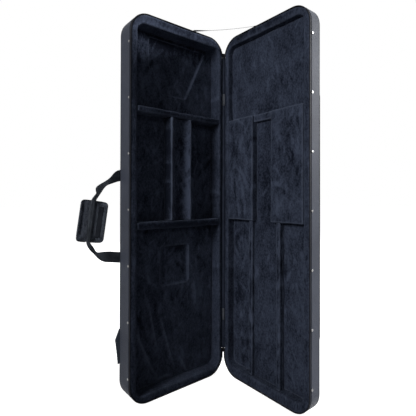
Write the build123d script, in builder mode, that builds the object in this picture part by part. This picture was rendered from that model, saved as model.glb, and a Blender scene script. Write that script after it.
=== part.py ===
"""Rectangular zipped case for a bass guitar, standing open on its tail end.

The base half lies along X with its rim facing -Y, and the lid half lies along Y with its rim
facing -X, opened a quarter turn about the upright spine hinge. Millimetres, Z up, origin in the
middle of the base half's flat tail end.
"""

import math
import os

from build123d import *

os.makedirs("parts", exist_ok=True)

# Outer shell
case_length = 1240.0
case_width = 379.0
corner_radius = 65.0
base_depth = 75.0
lid_depth = 52.0
band_wall = 4.0
panel_thickness = 5.0
panel_edge_round = 1.5
board_wall = 3.0
piping_diameter = 5.0
piping_round = 2.3
piping_setback = 4.5
fit_gap = 0.2

# Zip closure at the rims
tape_width = 8.0
tape_thickness = 1.2
chain_depth = 2.2
chain_proud = 0.85
lip_inset = 2.2

# Rivets that clamp the zip tape's edge
rivet_count = 7
rivet_tail_margin = 90.0
rivet_head_margin = 100.0
rivet_setback = 10.5
rivet_head_radius = 4.0
rivet_head_height = 1.8
rivet_head_round = 1.2
rivet_shank_radius = 1.6
rivet_clearance = 0.1

# Spine hinge
hinge_gap = 3.0
rim_setback = 1.0
strip_tail_gap = 88.0
strip_head_gap = 60.0
strip_thickness = 0.9
strip_reach = 26.0
strip_nose_gap = 0.2
tab_height = 45.0
tab_tail_setback = 104.0
tab_head_setback = 137.0
tab_cover = 3.0
tab_slack = 0.3

# Foam rims: width along each side of a half
base_spine_rim = 18.0
base_outer_rim = 25.0
base_tail_rim = 25.0
base_head_rim = 33.0
lid_spine_rim = 20.0
lid_outer_rim = 25.0
lid_tail_rim = 35.0
lid_head_rim = 30.0
cavity_corner = 24.0
rim_inner_round = 4.0
rim_outer_round = 1.5

# Compartments of the base half
body_floor = 40.0
head_floor = 50.0
body_length = 525.0
body_divider_width = 24.0
pocket_length = 351.0
head_divider_width = 19.0
spine_pocket_width = 125.0
neck_support_width = 85.0
neck_trough_width = 70.0
neck_trough_depth = 18.0
divider_round = 3.0
body_well_width = 110.0
body_well_length = 128.0
body_well_rise = 327.0
body_well_depth = 5.0
head_well_depth = 8.0
head_well_inset = 118.0
head_well_foot_width = 102.0
head_well_foot_rise = 65.0
head_well_right_lean = 86.0
head_well_left_lean = 50.0
head_well_height = 185.0
well_round = 8.0

# Compartments and blocks of the lid half
low_floor = 28.0
mid_floor = 22.0
lower_recess_length = 538.0
block_length = 365.0
spine_block_width = 125.0
channel_width = 82.0
ledge_width = 25.0
ledge_drop = 7.0
spine_recess_width = 98.0
spine_rib_width = 18.0
spine_rib_drop = 10.0
middle_recess_width = 110.0
outer_rib_width = 15.0
outer_rib_drop = 6.0

# Lid stay ribbon
stay_width = 8.0
stay_thickness = 1.0
stay_base_place = 142.0
stay_lid_place = 162.0
stay_sag = 5.0
stay_anchor_width = 16.0
stay_anchor_depth = 22.0
stay_anchor_thickness = 1.2
stay_steps = 16

# Carry handle of webbing with its opened wrap pad
webbing_width = 38.0
webbing_thickness = 2.0
grip_width = 17.0
grip_thickness = 4.0
handle_span = 268.0
handle_drop = 28.5
handle_axis_out = 2.0
handle_clearance = 0.3
anchor_patch_length = 62.0
grip_top_out = 86.0
grip_top_rise = 53.5
grip_bottom_out = 104.0
grip_bottom_drop = 74.5
wrap_height = 127.0
wrap_core_width = 24.0
wrap_thickness = 5.0
wrap_inner_reach = 34.0
wrap_outer_reach = 20.0
wrap_flap_curl = 50.0
wrap_strip_width = 16.0
wrap_strip_height = 96.0
wrap_strip_thickness = 1.2

# Backpack straps on the back panel
strap_width = 58.0
strap_thickness = 10.0
strap_round = 4.0
strap_head_gap = 325.0
strap_length = 355.0
strap_top_spread = 42.0
strap_foot_spread = 92.0
yoke_width = 170.0
yoke_height = 70.0
yoke_thickness = 3.0
yoke_corner = 12.0
buckle_width = 36.0
buckle_height = 30.0
buckle_thickness = 5.0
buckle_bar = 4.0
strap_webbing_width = 25.0
strap_webbing_thickness = 1.6
strap_anchor_low = 113.0
strap_anchor_top = 228.0
strap_anchor_peak = 193.0
strap_anchor_proud = 14.0
strap_anchor_foot_proud = 4.0
strap_anchor_width = 46.0
strap_anchor_thickness = 3.0

# Accessory pocket on the outside of the lid
pocket_tail_gap = 200.0
pocket_head_gap = 250.0
pocket_inset = 13.0
pocket_thickness = 20.0
pocket_corner = 42.0
pocket_round = 9.0
pocket_zip_inset = 45.0
pocket_zip_margin = 60.0
pocket_tape_width = 24.0
pocket_tape_thickness = 1.0
pocket_coil_width = 5.0
pocket_coil_height = 1.6

# Zip sliders and pulls
slider_width = 8.0
slider_height = 14.0
slider_thickness = 6.0
slider_round = 1.5
slider_lift = 1.5
slider_end_gap = 2.0
ear_thickness = 1.4
ear_reach = 3.2
ear_height = 5.0
pin_radius = 0.9
pin_clearance = 0.08
pull_length = 28.0
pull_width = 7.0
pull_thickness = 1.6
pull_hole_radius = 1.6
run_gap = 0.3

# Places that follow from the sizes
INTO = {"base": 1, "lid": -1}
SKYWARD = {"base": -1, "lid": 1}
depths = {"base": base_depth, "lid": lid_depth}
rims = {
    "base": (base_spine_rim, base_outer_rim, base_tail_rim, base_head_rim),
    "lid": (lid_spine_rim, lid_outer_rim, lid_tail_rim, lid_head_rim),
}
band_ends = {half: depth - piping_setback - piping_diameter / 2 for half, depth in depths.items()}
foam_ends = {half: depth - panel_thickness for half, depth in depths.items()}
rim_y = -(tape_width + band_ends["base"]) / 2
spine_x = case_width / 2
hinge_x = spine_x + hinge_gap
hinge_y = rim_y - rim_setback
lid_rim_x = hinge_x + rim_setback
lid_spine_y = hinge_y - hinge_gap
strip_low = strip_tail_gap
strip_high = case_length - strip_head_gap
tab_places = (strip_low + tab_tail_setback, strip_high - tab_head_setback - tab_height)


def place(half, out, up, depth):
    """Point of a half: out from the spine, up from the floor, depth behind the rim."""
    if half == "base":
        return Vector(spine_x - out, rim_y + depth, up)
    return Vector(lid_rim_x + depth, lid_spine_y - out, up)


def rim_plane(half, depth=0.0):
    """Plane parallel to a rim: x runs out from the spine and y runs up."""
    if half == "base":
        return Plane(origin=place(half, 0, 0, depth), x_dir=(-1, 0, 0), z_dir=(0, 1, 0))
    return Plane(origin=place(half, 0, 0, depth), x_dir=(0, -1, 0), z_dir=(-1, 0, 0))


def floor_plane(half, up=0.0):
    """Level plane: x runs out from the spine and y runs into the half's depth."""
    if half == "base":
        return Plane(origin=place(half, 0, up, 0), x_dir=(-1, 0, 0), z_dir=(0, 0, -1))
    return Plane(origin=place(half, 0, up, 0), x_dir=(0, -1, 0), z_dir=(0, 0, 1))


def side_plane(half, up, depth, out=case_width):
    """Upright plane on the outer long side, facing away from the spine."""
    if half == "base":
        return Plane(origin=place(half, out, up, depth), x_dir=(0, 1, 0), z_dir=(-1, 0, 0))
    return Plane(origin=place(half, out, up, depth), x_dir=(1, 0, 0), z_dir=(0, -1, 0))


def depth_axis(half):
    return Axis.Y if half == "base" else Axis.X


def outline(inset, mode=Mode.ADD):
    """Outline of a half, set in by one distance all round."""
    with Locations((case_width / 2, case_length / 2)):
        RectangleRounded(
            case_width - 2 * inset, case_length - 2 * inset, corner_radius - inset, mode=mode
        )


def box_between(out_range, up_range, mode=Mode.ADD):
    """Rectangle between two distances out from the spine and two heights."""
    with Locations((sum(out_range) / 2, sum(up_range) / 2)):
        Rectangle(out_range[1] - out_range[0], up_range[1] - up_range[0], mode=mode)


def cavity_range(half):
    """Limits of a half's hollow, out from the spine and up from the tail."""
    spine_rim, outer_rim, tail_rim, head_rim = rims[half]
    return (spine_rim, case_width - outer_rim), (tail_rim, case_length - head_rim)


def cavity(half, inset=0.0, mode=Mode.ADD):
    """Rounded outline of a half's hollow."""
    (near, far), (low, high) = cavity_range(half)
    with Locations(((near + far) / 2, (low + high) / 2)):
        RectangleRounded(
            far - near - 2 * inset, high - low - 2 * inset, cavity_corner - inset, mode=mode
        )


def save(part, name):
    """Label a finished piece and write its file."""
    part.label = name
    export_step(part, f"parts/{name}.step")


def rivet_heights():
    """Heights of the rivets, evenly spread between their margins."""
    pitch = (case_length - rivet_tail_margin - rivet_head_margin) / (rivet_count - 1)
    return [rivet_tail_margin + index * pitch for index in range(rivet_count)]


# Side bands: a fabric and foam laminate bent round each half
for half in depths:
    with BuildPart() as side_band:
        with BuildSketch(rim_plane(half, tape_width)):
            outline(0)
            outline(band_wall, mode=Mode.SUBTRACT)
        extrude(amount=INTO[half] * (band_ends[half] - tape_width))
        for height in rivet_heights():
            with BuildSketch(side_plane(half, height, rivet_setback)):
                Circle(rivet_shank_radius + rivet_clearance)
            extrude(amount=-2 * band_wall, mode=Mode.SUBTRACT)
    save(side_band.part, f"{half}_side_band")

# Frame boards: stiff rings inside the bands
for half in depths:
    with BuildPart() as frame_board:
        with BuildSketch(rim_plane(half, tape_width)):
            outline(band_wall)
            outline(band_wall + board_wall, mode=Mode.SUBTRACT)
        extrude(amount=INTO[half] * (band_ends[half] - tape_width))
        for height in rivet_heights():
            with BuildSketch(side_plane(half, height, rivet_setback)):
                Circle(rivet_shank_radius + rivet_clearance)
            extrude(amount=-2 * (band_wall + board_wall), mode=Mode.SUBTRACT)
    save(frame_board.part, f"{half}_frame_board")

# Outer panels: the flat back of the base and the flat front of the lid
for half in depths:
    with BuildPart() as outer_panel:
        with BuildSketch(rim_plane(half, depths[half] - panel_thickness)):
            outline(piping_diameter)
        extrude(amount=INTO[half] * panel_thickness)
        outside = outer_panel.faces().sort_by(depth_axis(half))[-1]
        fillet(outside.edges(), radius=panel_edge_round)
    save(outer_panel.part, f"{half}_outer_panel")

# Piping: a round cord sewn into the seam between band and panel
for half in depths:
    with BuildPart() as piping:
        with BuildSketch(rim_plane(half, band_ends[half])):
            outline(0)
            outline(piping_diameter, mode=Mode.SUBTRACT)
        extrude(amount=INTO[half] * piping_diameter)
        fillet(piping.edges(), radius=piping_round)
    save(piping.part, f"{half}_piping")

# Zip tapes: woven edges that carry the chain, open along the spine
for half in depths:
    with BuildPart() as zip_tape:
        with BuildSketch(rim_plane(half, chain_depth)):
            outline(lip_inset - tape_thickness)
            outline(lip_inset, mode=Mode.SUBTRACT)
            box_between((-lip_inset, rims[half][0]), (strip_low, strip_high), Mode.SUBTRACT)
        extrude(amount=INTO[half] * (tape_width - chain_depth))
    save(zip_tape.part, f"{half}_zip_tape")

# Zip chains: the coil along each rim, standing a little proud of it
for half in depths:
    with BuildPart() as zip_chain:
        with BuildSketch(rim_plane(half, -chain_proud)):
            outline(0)
            outline(lip_inset, mode=Mode.SUBTRACT)
            box_between((-lip_inset, rims[half][0]), (strip_low, strip_high), Mode.SUBTRACT)
        extrude(amount=INTO[half] * (chain_proud + chain_depth))
    save(zip_chain.part, f"{half}_zip_chain")

# Rivets: domed heads outside, shanks through band and board
for half in depths:
    with BuildPart() as rivets:
        for height in rivet_heights():
            seat = side_plane(half, height, rivet_setback)
            with BuildSketch(seat):
                Circle(rivet_head_radius)
            extrude(amount=rivet_head_height)
            with BuildSketch(seat):
                Circle(rivet_shank_radius)
            extrude(amount=-(band_wall + board_wall))
        outward = side_plane(half, 0, 0).z_dir
        crowns = [
            edge
            for edge in rivets.edges().filter_by(GeomType.CIRCLE)
            if abs((edge.arc_center - side_plane(half, 0, 0).origin).dot(outward) - rivet_head_height)
            < rivet_clearance
        ]
        fillet(crowns, radius=rivet_head_round)
    save(rivets.part, f"{half}_rivets")

# Rim foams: plush covered foam frames with a lip that reaches the zip
for half in depths:
    with BuildPart() as rim_foam:
        with BuildSketch(rim_plane(half)):
            outline(lip_inset)
            cavity(half, mode=Mode.SUBTRACT)
        extrude(amount=INTO[half] * tape_width)
        with BuildSketch(rim_plane(half, tape_width)):
            outline(band_wall + board_wall)
            cavity(half, mode=Mode.SUBTRACT)
        extrude(amount=INTO[half] * (foam_ends[half] - tape_width))
        front = rim_foam.faces().sort_by(depth_axis(half))[0]
        fillet(front.inner_wires()[0].edges(), radius=rim_inner_round)
        front = rim_foam.faces().sort_by(depth_axis(half))[0]
        fillet(front.outer_wire().edges(), radius=rim_outer_round)
    save(rim_foam.part, f"{half}_rim_foam")

# Heights in the base half, from the tail up
(base_near, base_far), (base_low, base_high) = cavity_range("base")
body_top = base_low + body_length
pocket_bottom = body_top + body_divider_width
pocket_top = pocket_bottom + pocket_length
head_bottom = pocket_top + head_divider_width
neck_near = base_near + spine_pocket_width
neck_far = neck_near + neck_support_width
neck_middle = (neck_near + neck_far) / 2

# Body pad: floor under the bass's body, with a shallow well for the bridge
with BuildPart() as body_pad:
    with BuildSketch(rim_plane("base", body_floor)):
        cavity("base", fit_gap)
        box_between((0, case_width), (0, body_top - fit_gap), Mode.INTERSECT)
    extrude(amount=foam_ends["base"] - body_floor)
    with BuildSketch(rim_plane("base", body_floor)):
        with Locations((neck_middle, base_low + body_well_rise + body_well_length / 2)):
            RectangleRounded(body_well_width, body_well_length, well_round)
    extrude(amount=body_well_depth, mode=Mode.SUBTRACT)
save(body_pad.part, "base_body_pad")

# Head pad: lower floor under neck, pockets and headstock, with the headstock's well
well_foot_height = head_bottom + head_well_foot_rise
well_near = base_near + head_well_inset
well_far = well_near + head_well_foot_width
with BuildPart() as head_pad:
    with BuildSketch(rim_plane("base", head_floor)):
        cavity("base", fit_gap)
        box_between((0, case_width), (body_top, case_length), Mode.INTERSECT)
    extrude(amount=foam_ends["base"] - head_floor)
    with BuildSketch(rim_plane("base", head_floor)) as head_well:
        with BuildLine():
            Polyline(
                (well_near, well_foot_height),
                (well_far, well_foot_height),
                (well_far + head_well_left_lean, well_foot_height + head_well_height / 2),
                (well_far + head_well_left_lean, well_foot_height + head_well_height),
                (well_near - head_well_right_lean, well_foot_height + head_well_height),
                close=True,
            )
        make_face()
        fillet(head_well.vertices(), radius=well_round)
    extrude(amount=head_well_depth, mode=Mode.SUBTRACT)
save(head_pad.part, "base_head_pad")

# Dividers: foam bars across the base half
bars = {
    "base_body_divider": (body_top, pocket_bottom),
    "base_head_divider": (pocket_top, head_bottom),
}
for name, heights in bars.items():
    with BuildPart() as divider:
        with BuildSketch(rim_plane("base")):
            box_between((base_near + fit_gap, base_far - fit_gap), heights)
        extrude(amount=head_floor)
        top_face = divider.faces().sort_by(Axis.Y)[0]
        fillet(top_face.edges().filter_by(Axis.X), radius=divider_round)
    save(divider.part, name)

# Neck support: foam block between the pockets with a rounded trough for the neck
trough_radius = (neck_trough_width**2 / 4 + neck_trough_depth**2) / (2 * neck_trough_depth)
with BuildPart() as neck_support:
    with BuildSketch(rim_plane("base")):
        box_between((neck_near, neck_far), (pocket_bottom, pocket_top))
    extrude(amount=head_floor)
    trough_foot = floor_plane("base", pocket_bottom)
    with BuildSketch(trough_foot):
        with Locations((neck_middle, neck_trough_depth - trough_radius)):
            Circle(trough_radius)
    extrude(amount=SKYWARD["base"] * pocket_length, mode=Mode.SUBTRACT)
    crests = neck_support.faces().filter_by(Plane.XZ).sort_by(Axis.Y)[:2]
    outer_crests = [
        crests.edges().filter_by(Axis.Z).sort_by(Axis.X)[0],
        crests.edges().filter_by(Axis.Z).sort_by(Axis.X)[-1],
    ]
    fillet(outer_crests, radius=divider_round)
save(neck_support.part, "base_neck_support")

# Places in the lid half
(lid_near, lid_far), (lid_low, lid_high) = cavity_range("lid")
block_foot = lid_low + lower_recess_length
block_top = block_foot + block_length
channel_near = lid_near + spine_block_width
channel_far = channel_near + channel_width
spine_rib_near = lid_near + spine_recess_width
spine_rib_far = spine_rib_near + spine_rib_width
outer_rib_near = spine_rib_far + middle_recess_width
outer_rib_far = outer_rib_near + outer_rib_width

# Floor pad: foam sheet over the whole lid
with BuildPart() as floor_pad:
    with BuildSketch(rim_plane("lid", low_floor)):
        cavity("lid", fit_gap)
    extrude(amount=INTO["lid"] * (foam_ends["lid"] - low_floor))
save(floor_pad.part, "lid_floor_pad")

# Centre pad: raised foam sheet along the middle and across the head
with BuildPart() as centre_pad:
    with BuildSketch(rim_plane("lid", mid_floor)) as centre_outline:
        cavity("lid", fit_gap)
        box_between((0, spine_rib_near), (0, block_foot), Mode.SUBTRACT)
        box_between((outer_rib_far, case_width), (0, block_foot), Mode.SUBTRACT)
        box_between((0, channel_near), (block_foot, block_top), Mode.SUBTRACT)
        box_between((channel_far, case_width), (block_foot, block_top), Mode.SUBTRACT)
    extrude(amount=INTO["lid"] * (low_floor - mid_floor))
save(centre_pad.part, "lid_centre_pad")

# Head blocks: two foam blocks that press on the pockets, and the ledge between them
blocks = {
    "lid_spine_block": ((lid_near + fit_gap, channel_near), (block_foot, block_top), 0.0, low_floor),
    "lid_outer_block": ((channel_far, lid_far - fit_gap), (block_foot, block_top), 0.0, low_floor),
    "lid_channel_ledge": (
        (channel_near, channel_far),
        (block_top - ledge_width, block_top),
        ledge_drop,
        mid_floor,
    ),
}
for name, (out_range, up_range, drop, seat_depth) in blocks.items():
    with BuildPart() as block:
        with BuildSketch(rim_plane("lid", drop)):
            box_between(out_range, up_range)
        extrude(amount=INTO["lid"] * (seat_depth - drop))
        crest = block.faces().sort_by(Axis.X)[0]
        fillet(crest.edges(), radius=divider_round)
    save(block.part, name)

# Ribs: long foam bars down the lower part of the lid
ribs = {
    "lid_spine_rib": ((spine_rib_near, spine_rib_far), spine_rib_drop),
    "lid_outer_rib": ((outer_rib_near, outer_rib_far), outer_rib_drop),
}
for name, (out_range, drop) in ribs.items():
    with BuildPart() as rib:
        with BuildSketch(rim_plane("lid", drop)):
            box_between(out_range, (lid_low + fit_gap, block_foot))
        extrude(amount=INTO["lid"] * (mid_floor - drop))
        crest = rib.faces().sort_by(Axis.X)[0]
        fillet(crest.edges().filter_by(Axis.Z), radius=divider_round)
    save(rib.part, name)

# Hinge strip: one leaf on each spine face, folded up to the hinge line
nose_tip = hinge_gap - strip_nose_gap
nose_level = -rim_setback + strip_nose_gap
for half in depths:
    with BuildPart() as hinge_leaf:
        with BuildSketch(floor_plane(half, strip_low)):
            with BuildLine():
                Polyline(
                    (lip_inset, tape_width),
                    (0, tape_width),
                    (0, strip_reach),
                    (-strip_thickness, strip_reach),
                    (-strip_thickness, strip_thickness),
                    (-nose_tip, nose_level + strip_thickness),
                    (-nose_tip, nose_level),
                    (-strip_thickness, nose_level),
                    (lip_inset, 0),
                    close=True,
                )
            make_face()
        extrude(amount=SKYWARD[half] * (strip_high - strip_low))
        for tab_low in tab_places:
            with BuildSketch(floor_plane(half, tab_low)):
                with Locations(((lip_inset - hinge_gap) / 2, (nose_level + strip_thickness) / 2)):
                    Rectangle(lip_inset + hinge_gap, strip_thickness - nose_level)
            extrude(amount=SKYWARD[half] * tab_height, mode=Mode.SUBTRACT)
    save(hinge_leaf.part, f"{half}_hinge_leaf")

# Hinge tabs: short webbing reinforcements wrapped over the rim at both ends of the strip
for half in depths:
    with BuildPart() as hinge_tabs:
        for tab_low in tab_places:
            with BuildSketch(floor_plane(half, tab_low + tab_slack)):
                with BuildLine():
                    Polyline(
                        (tab_cover, 0),
                        (tab_cover, nose_level),
                        (-nose_tip, nose_level),
                        (-nose_tip, nose_level + strip_thickness),
                        (-strip_thickness, strip_thickness),
                        (0, strip_thickness),
                        (0, 0),
                        close=True,
                    )
                make_face()
            extrude(amount=SKYWARD[half] * (tab_height - 2 * tab_slack))
    save(hinge_tabs.part, f"{half}_hinge_tabs")

# Stay anchors: webbing patches sewn on both head ends
stay_places = {"base": stay_base_place, "lid": stay_lid_place}
for half, out in stay_places.items():
    with BuildPart() as stay_anchor:
        with BuildSketch(floor_plane(half, case_length)):
            with Locations((out, tape_width + stay_anchor_depth / 2)):
                Rectangle(stay_anchor_width, stay_anchor_depth)
        extrude(amount=SKYWARD[half] * stay_anchor_thickness)
    save(stay_anchor.part, f"stay_{half}_anchor")

# Lid stay: a thin ribbon from base to lid, upright at the base end and twisting flat
stay_level = case_length + stay_anchor_thickness + stay_thickness
stay_start = place("base", stay_places["base"], stay_level, tape_width)
stay_end = place("lid", stay_places["lid"], stay_level, tape_width)
stay_run = stay_end - stay_start
with BuildPart() as lid_stay:
    for step in range(stay_steps + 1):
        share = step / stay_steps
        dip = Vector(0, 0, -4 * stay_sag * share * (1 - share))
        with BuildSketch(Plane(origin=stay_start + stay_run * share + dip, z_dir=stay_run)):
            Rectangle(stay_width, stay_thickness)
    loft(ruled=True)
save(lid_stay.part, "lid_stay")

# Handle anchors: webbing patches sewn flat on the back panel's outer edge
handle_depth = depths["base"]
handle_middle = case_length / 2 - handle_drop
handle_upper = handle_middle + handle_span / 2
handle_lower = handle_middle - handle_span / 2
patch_far = case_width + handle_axis_out - webbing_thickness / 2 - handle_clearance
with BuildPart() as handle_anchors:
    with BuildSketch(rim_plane("base", handle_depth)):
        for height in (handle_lower, handle_upper):
            box_between(
                (patch_far - anchor_patch_length, patch_far),
                (height - webbing_width / 2, height + webbing_width / 2),
            )
    extrude(amount=webbing_thickness)
save(handle_anchors.part, "handle_anchors")

# Handle webbing: a flat loop that narrows where it is folded for the grip
handle_axis_x = spine_x - case_width - handle_axis_out
handle_y = rim_y + handle_depth + webbing_thickness / 2
half_web = webbing_width / 2
half_grip = grip_width / 2
grip_top = (grip_top_out, handle_middle + grip_top_rise)
grip_bottom = (grip_bottom_out, handle_middle - grip_bottom_drop)
loop_outer = [
    (0, handle_upper + half_web),
    (grip_top[0] * 0.55, handle_upper + half_web * 0.1),
    (grip_top[0] - half_grip, grip_top[1] + webbing_width),
    (grip_top[0] + half_grip, grip_top[1]),
    (grip_bottom[0] + half_grip, grip_bottom[1]),
    (grip_bottom[0] - half_grip * 0.2, grip_bottom[1] - webbing_width * 0.7),
    (grip_bottom[0] * 0.55, handle_lower - half_web * 0.5),
    (0, handle_lower - half_web),
]
loop_inner = [
    (0, handle_lower + half_web),
    (grip_bottom[0] * 0.6, handle_lower + half_web * 0.9),
    (grip_bottom[0] - half_grip * 1.6, grip_bottom[1] - half_web),
    (grip_bottom[0] - half_grip, grip_bottom[1]),
    (grip_top[0] - half_grip, grip_top[1]),
    (grip_top[0] - half_grip * 3, grip_top[1] + half_web),
    (grip_top[0] * 0.4, handle_upper - half_web),
    (0, handle_upper - half_web),
]
grip_vector = Vector(grip_bottom[0] - grip_top[0], 0, grip_top[1] - grip_bottom[1])
grip_foot = Vector(handle_axis_x - grip_bottom[0], handle_y, grip_bottom[1])
grip_across = Vector(grip_vector.Z, 0, -grip_vector.X)
grip_plane = Plane(origin=grip_foot, x_dir=grip_across, z_dir=grip_vector)
with BuildPart() as handle_webbing:
    with BuildSketch(Plane(origin=(handle_axis_x, handle_y, 0), x_dir=(-1, 0, 0), z_dir=(0, 1, 0))):
        with BuildLine():
            Polyline(*loop_outer, *loop_inner, close=True)
        make_face()
    extrude(amount=webbing_thickness / 2, both=True)
    with BuildSketch(grip_plane):
        Rectangle(grip_width, grip_thickness)
    extrude(amount=grip_vector.length)
    ends = handle_webbing.faces().filter_by(Axis.X).sort_by(Axis.X)[-2:]
    fillet(ends.edges().filter_by(Axis.Z), radius=webbing_thickness * 0.49)
save(handle_webbing.part, "handle_webbing")

# Wrap pad: a padded core on the grip, with a curling flap hinged at each side
wrap_middle = grip_thickness / 2 + wrap_thickness / 2
with BuildPart() as wrap_core:
    with BuildSketch(grip_plane):
        with Locations((0, wrap_middle)):
            Rectangle(wrap_core_width, wrap_thickness)
    extrude(amount=wrap_height)
save(wrap_core.part, "wrap_core")

flap_axis_out = wrap_core_width / 2 + wrap_thickness / 2 + handle_clearance


flap_reaches = {1: wrap_inner_reach, -1: wrap_outer_reach}
flap_bends = {side: reach / math.radians(wrap_flap_curl) for side, reach in flap_reaches.items()}


def curled_profile(side, radius, thickness, start, sweep):
    """Rounded band of one thickness along an arc round a flap's curl."""
    centre = (side * flap_axis_out, wrap_middle - flap_bends[side])
    arc = CenterArc(centre, radius, 90 - side * start, -side * sweep)
    with BuildSketch(grip_plane) as profile:
        SlotArc(arc, thickness)
    return profile.sketch


for name, side in {"wrap_inner_flap": 1, "wrap_outer_flap": -1}.items():
    flap_profile = curled_profile(side, flap_bends[side], wrap_thickness, 0, wrap_flap_curl)
    with BuildPart() as flap:
        extrude(flap_profile, amount=wrap_height)
    save(flap.part, name)

# Grip strips: hook tape on one flap and loop tape on the other, laid round the curl
strip_out = (wrap_thickness + wrap_strip_thickness) / 2
for name, side, face in (("wrap_loop_strip", 1, -1), ("wrap_hook_strip", -1, 1)):
    strip_sweep = math.degrees(wrap_strip_width / flap_bends[side])
    strip_start = (wrap_flap_curl - strip_sweep) / 2
    strip_radius = flap_bends[side] + face * strip_out
    strip_profile = curled_profile(side, strip_radius, wrap_strip_thickness, strip_start, strip_sweep)
    with BuildPart() as grip_strip:
        extrude(strip_profile, amount=wrap_strip_height)
    raised = grip_vector.normalized() * (wrap_height - wrap_strip_height) / 2
    save(grip_strip.part.moved(Location(raised)), name)

# Backpack straps: yoke patch, two padded straps, buckles, lower webbing and side anchors
back = depths["base"]
back_middle = case_width / 2
strap_top = case_length - strap_head_gap
strap_foot = strap_top - strap_length
with BuildPart() as strap_yoke:
    with BuildSketch(rim_plane("base", back)):
        with Locations((back_middle, strap_top)):
            RectangleRounded(yoke_width, yoke_height, yoke_corner)
    extrude(amount=yoke_thickness)
save(strap_yoke.part, "strap_yoke")

for name, side in {"outer": 1, "spine": -1}.items():
    strap_head = Vector(back_middle + side * strap_top_spread, strap_top)
    strap_tip = Vector(back_middle + side * strap_foot_spread, strap_foot)
    strap_run = strap_tip - strap_head
    strap_turn = math.degrees(math.atan2(strap_run.Y, strap_run.X))
    strap_down = strap_run.normalized()
    with BuildPart() as strap:
        with BuildSketch(rim_plane("base", back + yoke_thickness)):
            with Locations(Location((strap_head + strap_tip) * 0.5, strap_turn)):
                RectangleRounded(strap_run.length, strap_width, strap_width / 3)
        extrude(amount=strap_thickness)
        crown = strap.faces().sort_by(Axis.Y)[-1]
        fillet(crown.edges(), radius=strap_round)
    save(strap.part, f"strap_{name}_pad")

    buckle_middle = strap_tip + strap_down * (buckle_height / 2 + fit_gap)
    buckle_level = back + strap_webbing_thickness
    slot_height = (buckle_height - 3 * buckle_bar) / 2
    slot_shift = (slot_height + buckle_bar) / 2
    with BuildPart() as buckle:
        with BuildSketch(rim_plane("base", buckle_level)):
            with Locations(Location(buckle_middle, strap_turn)):
                RectangleRounded(buckle_height, buckle_width, buckle_bar)
                with Locations((slot_shift, 0), (-slot_shift, 0)):
                    Rectangle(slot_height, buckle_width - 2 * buckle_bar, mode=Mode.SUBTRACT)
        extrude(amount=buckle_thickness)
    save(buckle.part, f"strap_{name}_buckle")

    edge_out = case_width if side > 0 else 0.0
    patch_inner = edge_out - side * strap_anchor_width
    peak_out = edge_out + side * strap_anchor_proud
    foot_out = edge_out + side * strap_anchor_foot_proud
    with BuildPart() as strap_anchor:
        with BuildSketch(rim_plane("base", back)):
            with BuildLine():
                Polyline(
                    (patch_inner, strap_anchor_low),
                    (foot_out, strap_anchor_low),
                    (peak_out, strap_anchor_peak),
                    (edge_out, strap_anchor_top),
                    (patch_inner, strap_anchor_peak),
                    close=True,
                )
            make_face()
        extrude(amount=strap_anchor_thickness)
    save(strap_anchor.part, f"strap_{name}_anchor")

    web_head = buckle_middle + strap_down * (buckle_height / 2)
    web_foot = Vector(edge_out - side * strap_anchor_width / 2, strap_anchor_peak)
    web_run = web_foot - web_head
    web_turn = math.degrees(math.atan2(web_run.Y, web_run.X))
    with BuildPart() as strap_webbing:
        with BuildSketch(rim_plane("base", back)):
            with Locations(Location((web_head + web_foot) * 0.5, web_turn)):
                Rectangle(web_run.length, strap_webbing_width)
            with Locations(Location(buckle_middle, strap_turn)):
                Rectangle(buckle_height, strap_webbing_width)
        extrude(amount=strap_webbing_thickness)
        with BuildSketch(rim_plane("base", back)):
            with BuildLine():
                Polyline(
                    (patch_inner, strap_anchor_low),
                    (foot_out, strap_anchor_low),
                    (peak_out, strap_anchor_peak),
                    (edge_out, strap_anchor_top),
                    (patch_inner, strap_anchor_peak),
                    close=True,
                )
            make_face()
        extrude(amount=strap_anchor_thickness, mode=Mode.SUBTRACT)
    save(strap_webbing.part, f"strap_{name}_webbing")

# Accessory pocket: a padded pouch on the lid's outer panel
lid_face = depths["lid"]
pocket_near = pocket_inset
pocket_low = pocket_tail_gap
pocket_high = case_length - pocket_head_gap
pocket_far = case_width - pocket_inset
with BuildPart() as pocket:
    with BuildSketch(rim_plane("lid", lid_face)):
        with Locations(((pocket_near + pocket_far) / 2, (pocket_low + pocket_high) / 2)):
            RectangleRounded(pocket_far - pocket_near, pocket_high - pocket_low, pocket_corner)
    extrude(amount=INTO["lid"] * pocket_thickness)
    crown = pocket.faces().sort_by(Axis.X)[-1]
    fillet(crown.edges(), radius=pocket_round)
save(pocket.part, "lid_pocket")

# Pocket zip: a straight tape with its coil near the pocket's outer edge
pocket_face = lid_face + pocket_thickness
pocket_zip_out = pocket_far - pocket_zip_inset
pocket_zip_range = (pocket_low + pocket_zip_margin, pocket_high - pocket_zip_margin)
with BuildPart() as pocket_zip:
    with BuildSketch(rim_plane("lid", pocket_face)):
        box_between(
            (pocket_zip_out - pocket_tape_width / 2, pocket_zip_out + pocket_tape_width / 2),
            pocket_zip_range,
        )
    extrude(amount=INTO["lid"] * pocket_tape_thickness)
    with BuildSketch(rim_plane("lid", pocket_face + pocket_tape_thickness)):
        box_between(
            (pocket_zip_out - pocket_coil_width / 2, pocket_zip_out + pocket_coil_width / 2),
            pocket_zip_range,
        )
    extrude(amount=INTO["lid"] * pocket_coil_height)
save(pocket_zip.part, "pocket_zip_tape")


def ear_pin_height():
    """Height of the pull's pin above a slider's face."""
    return ear_reach - pin_radius - pin_clearance - ear_thickness / 2


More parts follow.
